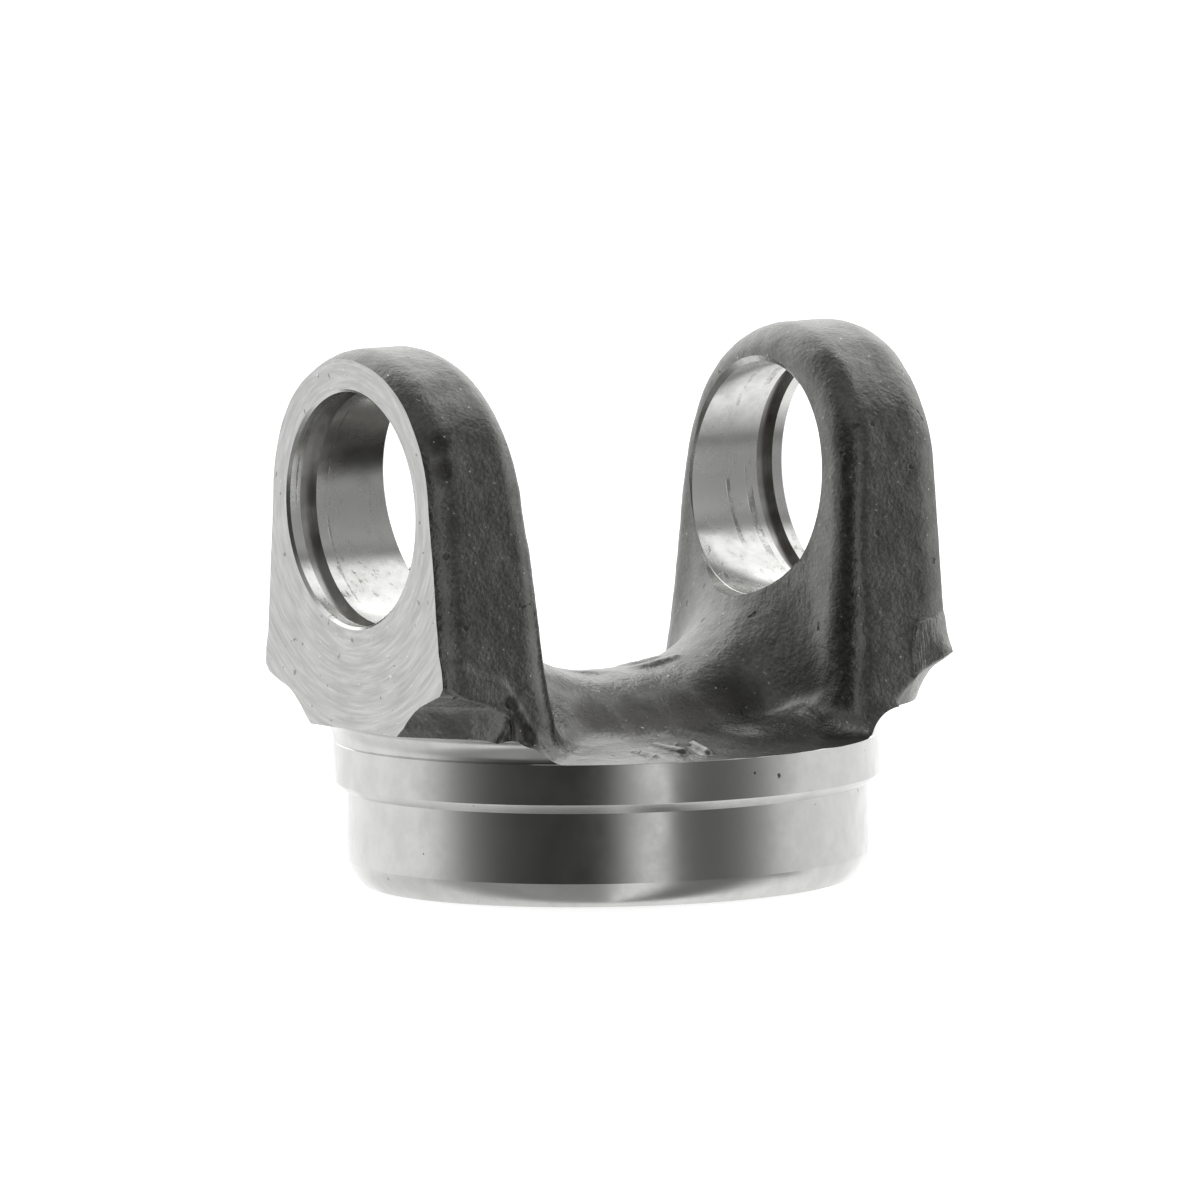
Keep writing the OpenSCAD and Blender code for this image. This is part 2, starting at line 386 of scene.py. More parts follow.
@dataclass(frozen=True)
class ForgedBlank:
    """The forging: two ears, the saddle between them and the hub, joined with fillets.

    A pair of values named for a coordinate is where a change begins and where it ends. The blends are
    the reach of a fillet, as smooth_join has it.

    Attributes:
        ears: The left and the right ear.
        swells: Rods that fill the corners where an ear grows out of the ledge.
        raised: Rods that make the raised forging marks.
        sunk: Rods that make the dents of this forging.
        shoulder_r: Radius of the turned shoulder.
        inner_steep: Length of a leaning inner face for each mm of height.
        saddle_walls: Out to the inner wall of the saddle, at the left and at the right.
        stock: What the hub has to spare for turning.
        spare_below: What it has to spare below the bottom edge.
        cell: Width of the grid that the surface is found on.
        lumps: Unevenness of the skin, each as its height, its size and its seed.
    """

    ears: tuple[Ear, Ear]
    swells: tuple[Rod, ...]
    raised: tuple[Rod, ...]
    sunk: tuple[Rod, ...]
    shoulder_r: float
    band_top: float = 19.8
    ledge_rise: float = 1.6
    bore_z: float = 53.5
    crown_r: float = 21.05
    crown_reach: float = 18.0
    side_draft: float = 5.7
    inner_lean: float = 7.5
    inner_steep: float = 1.005
    outer_edge_r: float = 7.0
    outer_edge_x: float = 36.8
    side_edge_r: float = 3.6
    crown_edge_r: float = 4.2
    crown_edge_below: float = 5.0
    foot_edge_r: float = 4.9
    foot_edge_z: tuple = (50.0, 30.0)
    flash_fade: tuple = (-0.3, 0.5)
    flash_end: float = 0.4
    tip_x: tuple = (36.0, 40.8)
    saddle_z: float = 28.8
    saddle_walls: tuple = (21.2, 22.85)
    saddle_back_r: float = 15.0
    saddle_corner_r: float = 18.0
    saddle_draft: float = 0.06
    saddle_top: float = 44.0
    saddle_end: float = 30.0
    pocket_x: float = 17.0
    pocket_start: float = 7.0
    pocket_spared: float = 7.0
    pocket_flank_y: tuple = (18.5, 21.0)
    pocket_steep_r: tuple = (24.0, 26.5, 28.5, 31.0)
    pocket_steep: tuple = (0.2, 1.6, 1.2, 0.3)
    hollow_r: float = 26.5
    hollow_h: float = 16.5
    hollow_draft: float = 7.0
    hollow_corner_r: float = 6.0
    ear_blend: float = 7.0
    foot_blend: float = 4.0
    foot_x: tuple = (29.0, 25.0)
    foot_y: tuple = (19.5, 22.0)
    foot_z: tuple = (26.0, 23.0)
    ledge_blend: float = 5.5
    swell_blend: float = 4.5
    mark_blend: float = 0.4
    stock: float = 2.0
    spare_below: float = 1.5
    cell: float = 0.5
    grid_low: tuple = (-45.0, -41.0, -3.0)
    grid_high: tuple = (45.0, 41.0, 78.0)
    lumps: tuple = ((0.10, 7.0, 11), (0.05, 2.6, 12), (0.030, 1.1, 13))

    def outline(self, ear: Ear, y: Array, z: Array) -> Array:
        """Distance to the outline of an ear seen along X.

        A round crown about the bore, a little higher than it is wide, above the two lines where it
        meets its drafted sides, and the nearer side below them.

        Args:
            ear: The ear.
            y: Second coordinate of each place in mm.
            z: Third coordinate.

        Returns:
            Signed distance, negative inside.
        """
        draft = math.radians(self.side_draft)
        across = np.abs(y - ear.offset_y)
        above = z - self.bore_z
        on_crown = above * math.cos(draft) > across * math.sin(draft)
        rise = ear.crown_rise * ramp(above, 0.0, self.crown_reach)
        crown = np.hypot(across, above) - self.crown_r - rise
        side = across * math.cos(draft) + above * math.sin(draft) - self.crown_r
        return np.where(on_crown, crown, side)

    def flash(self, ear: Ear, out: Array, z: Array) -> Array:
        """How far the sheared flash stands out of the flank of an ear.

        A thin pad below a slanting edge, and on it a tip that grows towards the outer face.

        Args:
            ear: The ear.
            out: Distance of each place along the ear's side of X in mm.
            z: Third coordinate.

        Returns:
            Height of the flash in mm.
        """
        edge = np.interp(out, ear.flash_x, ear.flash_z)
        start = ear.flash_x[0]
        pad = ramp(edge - z, *self.flash_fade) * ramp(out, start - self.flash_end, start + self.flash_end)
        height = np.clip((ear.tip_top - z) / ear.tip_span, 0.0, 1.0)
        tip = ear.tip_out * height * height * ramp(out, *self.tip_x)
        return ear.flash_proud * pad + tip

    def ear_solid(self, ear: Ear, x: Array, y: Array, z: Array) -> Array:
        """Distance to one ear: its outline, cut by the outer side and by the leaning inner face.

        The edge along the inner face is rounded more about the crown and more towards the foot.

        Args:
            ear: The ear.
            x: First coordinate of each place in mm.
            y: Second coordinate.
            z: Third coordinate.

        Returns:
            Signed distance, negative inside.
        """
        out = ear.side * x
        above = z - self.bore_z
        body = self.outline(ear, y, z) - self.flash(ear, out, z)
        outer = out - (self.outer_edge_x + self.outer_edge_r)
        inner_face = ear.inner_x + ear.inner_slope * above + ear.inner_bow * above * above
        inner = (inner_face - out) / self.inner_steep
        crown_share = ramp(z, self.bore_z - self.crown_edge_below, self.bore_z + self.crown_r)
        inner_edge = self.side_edge_r + (self.crown_edge_r - self.side_edge_r) * crown_share
        inner_edge = inner_edge + (self.foot_edge_r - self.side_edge_r) * ramp(z, *self.foot_edge_z)
        solid = np.maximum(
            round_overlap(body, outer, self.outer_edge_r),
            round_overlap(body, inner, inner_edge))
        return np.maximum(solid, self.above_pocket(ear, out, y, z))

    def above_pocket(self, ear: Ear, out: Array, y: Array, z: Array) -> Array:
        """Distance to all that lies above the dished pocket that the lower die leaves under an ear.

        The roof is a height that changes with the distance from an upright axis, over its steepness.
        The pocket starts a little way out from that axis, and further out on the flanks.

        Args:
            ear: The ear.
            out: Distance of each place along the ear's side of X in mm.
            y: Second coordinate.
            z: Third coordinate.

        Returns:
            Signed distance, negative above the roof.
        """
        radius = np.hypot(out - self.pocket_x, y)
        roof = np.interp(radius, ear.pocket_r, ear.pocket_z)
        steep = np.interp(radius, self.pocket_steep_r, self.pocket_steep)
        flank = ramp(np.abs(y - ear.offset_y), *self.pocket_flank_y)
        start = self.pocket_x + self.pocket_start + self.pocket_spared * flank
        return np.minimum((roof - z) / np.hypot(1.0, steep), out - start)

    def saddle_solid(self, x: Array, y: Array, z: Array) -> Array:
        """Distance to the saddle: a bar with a round back, bent into a U between the ears.

        The depth below the U is taken first, and the section across it is a circle that touches the U
        and goes on straight down, with a little draft.

        Args:
            x: First coordinate of each place in mm.
            y: Second coordinate.
            z: Third coordinate.

        Returns:
            Signed distance, negative inside.
        """
        lean = math.radians(self.inner_lean)
        middle = (self.saddle_walls[0] + self.saddle_walls[1]) / 2
        shift = (self.saddle_walls[1] - self.saddle_walls[0]) / 2
        wall = middle + (z - self.saddle_z) * math.tan(lean)
        sideways = (np.abs(x - shift) - wall) * math.cos(lean)
        depth = round_overlap(self.saddle_z - z, sideways, self.saddle_corner_r)
        back = self.saddle_back_r - depth
        width = self.saddle_back_r + self.saddle_draft * np.maximum(-back, 0.0)
        bar = np.hypot(np.maximum(back, 0.0), y) - width
        return np.maximum(np.maximum(bar, z - self.saddle_top), np.abs(x) - self.saddle_end)

    def hub_solid(self, x: Array, y: Array, z: Array) -> Array:
        """Distance to the hub: a disc whose top falls with the square of the distance from its middle.

        Args:
            x: First coordinate of each place in mm.
            y: Second coordinate.
            z: Third coordinate.

        Returns:
            Signed distance, negative inside.
        """
        radius = np.hypot(x, y)
        top = self.band_top + self.ledge_rise * (1 - (radius / self.shoulder_r) ** 2)
        return np.maximum(z - top, radius - self.shoulder_r - self.stock)

    def hollow(self, x: Array, y: Array, z: Array) -> Array:
        """Distance to the hollow under the saddle: a drafted cone with a rounded corner at its roof.

        Args:
            x: First coordinate of each place in mm.
            y: Second coordinate.
            z: Third coordinate.

        Returns:
            Signed distance, negative in the hollow.
        """
        draft = math.radians(self.hollow_draft)
        wall = (np.hypot(x, y) - self.hollow_r + z * math.tan(draft)) * math.cos(draft)
        return round_overlap(wall, z - self.hollow_h, self.hollow_corner_r)

    def distance(self, points: Array) -> Array:
        """Distance to the whole blank.

        The solids are joined one after another, the fillet of an ear is narrower at its foot on the
        ledge, and the hollow and all below the blank are taken away.

        Args:
            points: Places in mm, in the last dimension.

        Returns:
            Signed distance of each, negative in the metal.
        """
        x, y, z = points[..., 0], points[..., 1], points[..., 2]
        metal = smooth_join(self.saddle_solid(x, y, z), self.hub_solid(x, y, z), self.ledge_blend)
        for ear in self.ears:
            foot = ramp(ear.side * x, *self.foot_x) * ramp(z, *self.foot_z) * ramp(np.abs(y), *self.foot_y)
            blend = self.ear_blend + (self.foot_blend - self.ear_blend) * foot
            metal = smooth_join(metal, self.ear_solid(ear, x, y, z), blend)
        for rod in self.swells:
            metal = smooth_join(metal, rod.distance(x, y, z), self.swell_blend)
        for rod in self.raised:
            metal = smooth_join(metal, rod.distance(x, y, z), self.mark_blend)
        for rod in self.sunk:
            metal = -smooth_join(-metal, rod.distance(x, y, z), self.mark_blend)
        metal = np.maximum(metal, -self.hollow(x, y, z))
        return np.maximum(metal, -self.spare_below - z)

    def gradient(self, points: Array) -> tuple[Array, Array]:
        """Distance and outward direction at each point, from differences over a short step.

        Args:
            points: Places in mm, one row each.

        Returns:
            The distance over the steepness of the field, and the direction with a length of 1.
        """
        step = 0.05
        least_steep = 0.3
        value = self.distance(points)
        slope = np.empty_like(points)
        for axis in range(3):
            offset = np.zeros(3)
            offset[axis] = step
            slope[:, axis] = self.distance(points + offset) - self.distance(points - offset)
        length = np.linalg.norm(slope, axis=1, keepdims=True)
        return value / np.maximum(length[:, 0] / (2 * step), least_steep), slope / np.maximum(length, 1e-9)

    def surface(self) -> Surface:
        """The skin of the blank, drawn onto the level surface and lifted by small lumps.

        Returns:
            The closed surface, all of it with the forged finish.
        """
        points, faces = level_surface(
            self.distance, np.array(self.grid_low), np.array(self.grid_high), self.cell)
        for _ in range(2):
            value, slope = self.gradient(points)
            points = points - np.clip(value, -self.cell, self.cell)[:, None] * slope
        _, normal = self.gradient(points)
        rise = sum(height * lump_noise(points, size, seed) for height, size, seed in self.lumps)
        points = points + rise[:, None] * normal
        return Surface(points, faces, np.full(len(faces), Finish.FORGED.value))


# THE MACHINING


@dataclass(frozen=True)
class Machining:
    """Everything that is turned, milled and bored away, as solids to cut with.

    Attributes:
        face_x: Out to the milled faces.
        shoulder_r: Radius of the turned shoulder.
        lead_in_back: From the pilot in to the centre of the rounded lead-in.
        lead_in_z: Height of that centre.
        lead_in_span: Angles in degrees between which the lead-in is rounded.
        weld_chamfer: Height of the chamfer for the weld. The next three are the small breaks at its ends.
        notch: Depth of the fine notch between the band and the neck.
        mouth_r: Radius of the hollow at its mouth.
        mouth_chamfer: Chamfer of that mouth. The tool reaches mouth_skim further in.
        cone_reach: How far the cone that breaks the edge of an inner mouth starts outside it.
        cone_deep: How far it goes into the bore.
        cone_lift: How far it sits above the bore, besides the chamfer.
        reach: How far a cutter reaches past what it cuts.
        air: Out, across and lower and upper height of the box of air outside a milled face.
    """

    face_x: float
    shoulder_r: float
    pilot_r: float = 35.8
    pilot_h: float = 13.0
    lead_in_r: float = 6.49
    lead_in_back: float = 6.3
    lead_in_z: float = 4.97
    lead_in_span: tuple = (-50, -14)
    weld_chamfer: float = 1.3
    weld_in: float = 0.25
    weld_corner: float = 0.1
    weld_edge_h: float = 1.2
    band_top: float = 19.8
    notch: float = 0.15
    notch_ends: tuple = (-0.05, 0.25)
    neck_r: float = 3.3
    neck_rise: float = 0.3
    mouth_r: float = 26.5
    mouth_chamfer: float = 1.1
    mouth_skim: float = 0.2
    core_r: float = 24.0
    core_z: float = 1.0
    bore_z: float = 53.5
    bore_r: float = 16.0
    lip_w: float = 2.0
    groove_w: float = 2.6
    groove_depth: float = 1.2
    outer_chamfer: float = 0.4
    inner_chamfer: float = 0.3
    cone_reach: float = 0.4
    cone_deep: float = 1.6
    cone_lift: float = 0.15
    reach: float = 3.0
    lathe_r: float = 70.0
    lathe_below: float = 6.0
    lathe_steps: int = 512
    bore_steps: int = 256
    arc_steps: tuple = (10, 16)
    air: tuple = (20.0, 60.0, -20.0, 110.0)

    def turning(self) -> Surface:
        """What the lathe takes off: below the bottom edge and round the outside up to the neck.

        Returns:
            The cutter, one closed profile carried round Z.
        """
        outer = self.shoulder_r
        top = self.band_top
        core = [(self.core_r, -self.lathe_below), (self.core_r, self.core_z)]
        mouth = [
            (self.mouth_r - self.mouth_skim, self.mouth_chamfer),
            (self.mouth_r + self.mouth_chamfer, 0.0)]
        centre = (self.pilot_r - self.lead_in_back, self.lead_in_z)
        lead_in = arc(centre, self.lead_in_r, *self.lead_in_span, self.arc_steps[0])
        weld = [
            (self.pilot_r, self.pilot_h + self.notch_ends[0]),
            (self.pilot_r + self.weld_in, self.pilot_h),
            (outer - self.weld_corner, self.pilot_h + self.weld_edge_h),
            (outer, self.pilot_h + self.weld_chamfer)]
        rim = [
            (outer, top + self.notch_ends[0]),
            (outer - self.notch, top + self.notch),
            (outer, top + self.notch_ends[1])]
        neck = arc((outer + self.neck_r, top + self.neck_rise), self.neck_r, 180, 90, self.arc_steps[1])
        outside = [(self.lathe_r, top + self.neck_r), (self.lathe_r, -self.lathe_below)]
        outline = (core + mouth + lead_in + weld + rim + neck + outside)[::-1]
        return turned_solid(outline, [Finish.TURNED] * len(outline), self.lathe_steps, True, Axis.Z)

    def bores(self) -> Surface:
        """Both cross bores in one: bores, ring grooves, lips and outer mouths.

        Returns:
            The cutter, one profile with flat ends carried round the axis of the bores.
        """
        groove_r = self.bore_r + self.groove_depth
        groove_x = self.face_x - self.lip_w - self.groove_w
        half = [
            (self.bore_r, groove_x, Finish.GROOVED),
            (groove_r, groove_x, Finish.GROOVED),
            (groove_r, self.face_x - self.lip_w, Finish.GROOVED),
            (self.bore_r, self.face_x - self.lip_w, Finish.BORED),
            (self.bore_r, self.face_x - self.outer_chamfer, Finish.BORED),
            (self.bore_r + self.outer_chamfer + self.reach, self.face_x + self.reach, Finish.BORED)]
        marks = [finish for _, _, finish in half[:-1]]
        profile = [(r, -x) for r, x, _ in reversed(half)] + [(r, x) for r, x, _ in half]
        finishes = marks[::-1] + [Finish.BORED] + marks
        solid = turned_solid(profile, finishes, self.bore_steps, False, Axis.X)
        solid.points[:, 2] += self.bore_z
        return solid

    def inner_mouth(self, ear: Ear) -> Surface:
        """The broken edge at the inner mouth of a bore.

        A cone square to the leaning inner face, and a little above the bore, so that it takes most off
        at the top and nothing at the bottom.

        Args:
            ear: The ear that is bored.

        Returns:
            The cutter.
        """
        cone_r = self.bore_r + self.inner_chamfer
        profile = [(cone_r + self.cone_reach, -self.cone_reach), (cone_r - self.cone_deep, self.cone_deep)]
        solid = turned_solid(profile, [Finish.BORED], self.bore_steps, False, Axis.X)
        x, y, z = solid.points.T
        lean = math.atan(ear.inner_slope)
        across = ear.inner_x + x * math.cos(lean) + z * math.sin(lean)
        lift = self.bore_z + self.inner_chamfer + self.cone_lift
        height = lift - x * math.sin(lean) + z * math.cos(lean)
        faces = solid.faces if ear.side > 0 else [corners[::-1] for corners in solid.faces]
        return Surface(np.stack([ear.side * across, y, height], 1), faces, solid.finishes)

    def milling(self, side: int) -> Surface:
        """The box of air outside one milled face.

        Args:
            side: -1 for the left face, 1 for the right face.

        Returns:
            The cutter.
        """
        out, across, low, high = self.air
        x = np.array([self.face_x, self.face_x + out]) * side
        grid = np.array(np.meshgrid(x, [-across, across], [low, high], indexing="ij"))
        points = grid.reshape(3, -1).T
        faces = [[0, 1, 3, 2], [4, 6, 7, 5], [0, 4, 5, 1], [2, 3, 7, 6], [0, 2, 6, 4], [1, 5, 7, 3]]
        if side < 0:
            faces = [corners[::-1] for corners in faces]
        return Surface(points, faces, np.full(len(faces), Finish.MILLED.value))


@dataclass(frozen=True)
class Yoke:
    """The finished yoke: the blank, cut by the machining, with every edge and finish in place.

    Attributes:
        blank: The forging.
        machining: What is cut from it.
        corner_degrees: Bend past which a machined corner is drawn sharp.
        shear_fade: Half the height over which the shear marks fade at their upper edge.
        shear_end: Length over which they fade at their inner end.
        shear_y: Distance from the middle between which they fade in on the flank.
    """

    blank: ForgedBlank
    machining: Machining
    corner_degrees: float = 11.0
    shear_fade: float = 0.3
    shear_end: float = 0.6
    shear_y: tuple = (18.5, 20.0)

    def build(self, materials: list) -> bpy.types.Object:
        """Cuts the blank, and keeps the result as a plain mesh with no modifier left.

        Args:
            materials: The material of each finish, in the order of Finish.

        Returns:
            The piece.
        """
        piece = self.blank.surface().to_object("forged_yoke")
        left, right = self.blank.ears
        cutters = [
            self.machining.turning().to_object("cut_turning"),
            self.machining.bores().to_object("cut_bores"),
            self.machining.inner_mouth(left).to_object("cut_left_mouth"),
            self.machining.inner_mouth(right).to_object("cut_right_mouth"),
            self.machining.milling(left.side).to_object("cut_left_face"),
            self.machining.milling(right.side).to_object("cut_right_face")]
        for solid in [piece] + cutters:
            for material in materials:
                solid.data.materials.append(material)
        for cutter in cutters:
            cut = piece.modifiers.new(cutter.name, "BOOLEAN")
            cut.operation = "DIFFERENCE"
            cut.solver = "MANIFOLD"
            cut.object = cutter
        bpy.context.view_layer.update()
        whole = piece.evaluated_get(bpy.context.evaluated_depsgraph_get())
        mesh = bpy.data.meshes.new_from_object(whole)
        piece.modifiers.clear()
        old = piece.data
        piece.data = mesh
        bpy.data.meshes.remove(old)
        for cutter in cutters:
            bpy.data.objects.remove(cutter)
        self.set_edges(mesh)
        self.set_sheared(mesh)
        return piece

    def set_sheared(self, mesh: bpy.types.Mesh) -> None:
        """Writes where the flash was sheared off as an attribute from 0 to 1.

        Args:
            mesh: Mesh of the yoke.
        """
        points = np.empty(len(mesh.vertices) * 3, np.float32)
        mesh.vertices.foreach_get("co", points)
        x, y, z = (points.reshape(-1, 3) / MM).T
        band = np.zeros(len(x))
        for ear in self.blank.ears:
            edge = np.interp(ear.side * x, ear.flash_x, ear.flash_z)
            start = ear.flash_x[0]
            flank = ramp(ear.side * x, start, start + self.shear_end) * ramp(np.abs(y), *self.shear_y)
            band += ear.sheared * ramp(edge - z, -self.shear_fade, self.shear_fade) * flank
        sheared = mesh.attributes.new("sheared", "FLOAT", "POINT")
        sheared.data.foreach_set("value", band.astype(np.float32))

    def set_edges(self, mesh: bpy.types.Mesh) -> None:
        """Smooth shading, with sharp edges where two finishes meet and at machined corners.

        The corners of all faces are sorted by their edge, which gives the two faces of each edge, and
        the cosine of the bend is the product of their normals.

        Args:
            mesh: Mesh of the yoke.
        """
        count = len(mesh.edges)
        finish = np.empty(len(mesh.polygons), np.int32)
        mesh.polygons.foreach_get("material_index", finish)
        normal = np.empty(len(mesh.polygons) * 3, np.float32)
        mesh.polygons.foreach_get("normal", normal)
        normal = normal.reshape(-1, 3)
        sizes = np.empty(len(mesh.polygons), np.int32)
        mesh.polygons.foreach_get("loop_total", sizes)
        owner = np.repeat(np.arange(len(mesh.polygons)), sizes)
        edge = np.empty(len(mesh.loops), np.int32)
        mesh.loops.foreach_get("edge_index", edge)
        order = np.argsort(edge, kind="stable")
        first = np.searchsorted(edge[order], np.arange(count))
        one = owner[order][first]
        two = owner[order][np.minimum(first + 1, len(order) - 1)]
        bend = np.sum(normal[one] * normal[two], axis=1)
        corner = bend < math.cos(math.radians(self.corner_degrees))
        machined = (finish[one] != Finish.FORGED.value) & corner
        sharp = (finish[one] != finish[two]) | machined
        mesh.polygons.foreach_set("use_smooth", np.ones(len(mesh.polygons), bool))
        mesh.edges.foreach_set("use_edge_sharp", sharp)
        mesh.update()


# MATERIALS


# Settings of nodes that are used again and again
ADD = {"operation": "ADD"}
LESS = {"operation": "SUBTRACT"}
TIMES = {"operation": "MULTIPLY"}
GREATER = {"operation": "MAXIMUM"}
SCALED = {"operation": "SCALE"}
SMOOTH = {"interpolation_type": "SMOOTHSTEP"}
NUMBERS = {"data_type": "FLOAT"}
COLOURS = {"data_type": "RGBA"}


def linear(code: str) -> tuple:
    """Turns an sRGB hex colour into linear red, green, blue and a full alpha."""
    values = [int(code[k : k + 2], 16) / 255 for k in (1, 3, 5)]
    return (*[v / 12.92 if v <= 0.04045 else ((v + 0.055) / 1.055) ** 2.4 for v in values], 1.0)


def add_node(tree: bpy.types.NodeTree, kind: str, settings: dict, inputs: dict, out: int | str = 0) -> Socket:
    """Adds a node, and sets or links its inputs.

    Args:
        tree: Node tree to add to.
        kind: Type of the node, without the word ShaderNode in front.
        settings: Properties of the node by name.
        inputs: Inputs by name or number. A socket is linked, anything else is set.
        out: The output to give back, by name or number.

    Returns:
        That output of the new node.
    """
    node = tree.nodes.new("ShaderNode" + kind)
    for name, value in settings.items():
        setattr(node, name, value)
    for key, value in inputs.items():
        if isinstance(value, Socket):
            tree.links.new(value, node.inputs[key])
        else:
            node.inputs[key].default_value = value
    return node.outputs[out]


@dataclass(frozen=True)
class Pattern:
    """Patterns for one material, measured in millimetres on the piece itself."""

    tree: bpy.types.NodeTree

    def add(self, kind: str, settings: dict, inputs: dict, out: int | str = 0) -> Socket:
        """Adds a node to this material, as add_node does."""
        return add_node(self.tree, kind, settings, inputs, out)

    def place(self) -> Socket:
        """Place on the piece in mm."""
        return self.add("VectorMath", SCALED, {0: self.add("TexCoord", {}, {}, "Object"), 3: 1000.0})

    def stretched(self, factors: tuple) -> Socket:
        """Place in mm with each axis scaled, so that noise on it is drawn out."""
        return self.add("VectorMath", TIMES, {0: self.place(), 1: factors})

    def around(self, bore_z: float, per_mm: float, per_radian: float) -> Socket:
        """Place by distance from the axis of the bores and by the direction in which it lies.

        The direction is a point on a circle, and the distance lies along X, square to that circle.
        Noise on it runs in arcs about the bores, with no seam.

        Args:
            bore_z: Height of the axis of the bores in mm.
            per_mm: How fast the pattern changes with the distance.
            per_radian: How fast it changes round the axis.

        Returns:
            The place to lay noise on.
        """
        parts = self.add("SeparateXYZ", {}, {0: self.place()}, 0).node.outputs
        height = self.add("Math", LESS, {0: parts[2], 1: bore_z})
        flat = self.add("CombineXYZ", {}, {1: parts[1], 2: height})
        radius = self.add("VectorMath", {"operation": "LENGTH"}, {0: flat}, "Value")
        turned = self.add("VectorMath", {"operation": "NORMALIZE"}, {0: flat})
        circle = self.add("VectorMath", SCALED, {0: turned, 3: per_radian})
        outward = self.add("CombineXYZ", {}, {0: self.add("Math", TIMES, {0: radius, 1: per_mm})})
        return self.add("VectorMath", ADD, {0: circle, 1: outward})

    def window(self, value: Socket, ends: tuple) -> Socket:
        """A value that is 1 in a window and 0 outside it.

        Args:
            value: The value that is looked at.
            ends: It rises smoothly between the first two of these, and falls between the last two.

        Returns:
            The product of the rise and the fall.
        """
        rise = self.add("MapRange", SMOOTH, {0: value, 1: ends[0], 2: ends[1]})
        fall = self.add("MapRange", SMOOTH, {0: value, 1: ends[2], 2: ends[3], 3: 1.0, 4: 0.0})
        return self.add("Math", TIMES, {0: rise, 1: fall})

    def spots(self, place: Socket, spots: tuple) -> Socket:
        """A value that is 1 within each spot and falls smoothly to 0 round it.

        Args:
            place: Place on the piece in mm.
            spots: Each as its place, its radius and its reach in mm.

        Returns:
            The greatest value of any spot.
        """
        total = 0.0
        for *centre, radius, reach in spots:
            away = self.add("VectorMath", {"operation": "DISTANCE"}, {0: place, 1: centre}, "Value")
            spot = self.add("MapRange", SMOOTH, {0: away, 1: radius, 2: radius + reach, 3: 1.0, 4: 0.0})
            total = self.add("Math", GREATER, {0: total, 1: spot})
        return total

    def shaken(self, size: float, by: float) -> Socket:
        """Place in mm, moved about by noise, so that spots laid on it get ragged edges.

        Args:
            size: Size of the lumps of the noise in mm.
            by: How far a place moves for a change of 1 in the noise, in mm.

        Returns:
            The moved place.
        """
        inputs = {"Vector": self.place(), "Scale": 1 / size, "Detail": 2.0}
        cloud = self.add("TexNoise", {}, inputs, 1)
        centred = self.add("VectorMath", LESS, {0: cloud, 1: (0.5, 0.5, 0.5)})
        moved = self.add("VectorMath", SCALED, {0: centred, 3: by})
        return self.add("VectorMath", ADD, {0: self.place(), 1: moved})


@dataclass(frozen=True)
class SteelFinish:
    """What every finish of the yoke shares: bare steel with a base colour and a roughness.

    Attributes:
        name: Name of the material.
        colour: Base colour as sRGB hex.
        rough: Typical roughness.
    """

    name: str
    colour: str
    rough: float

    def build(self) -> bpy.types.Material:
        """Makes the material.

        Returns:
            The material, dressed by the finish.
        """
        material = bpy.data.materials.new(self.name)
        material.use_nodes = True
        tree = material.node_tree
        shader = tree.nodes["Principled BSDF"]
        shader.inputs["Metallic"].default_value = 1.0
        shader.inputs["Roughness"].default_value = self.rough
        for name, value in self.dress(Pattern(tree)).items():
            tree.links.new(value, shader.inputs[name])
        return material

    def dress(self, pattern: Pattern) -> dict[str, Socket]:
        """The patterns of the finish, by the input of the shader that each drives."""
        raise NotImplementedError


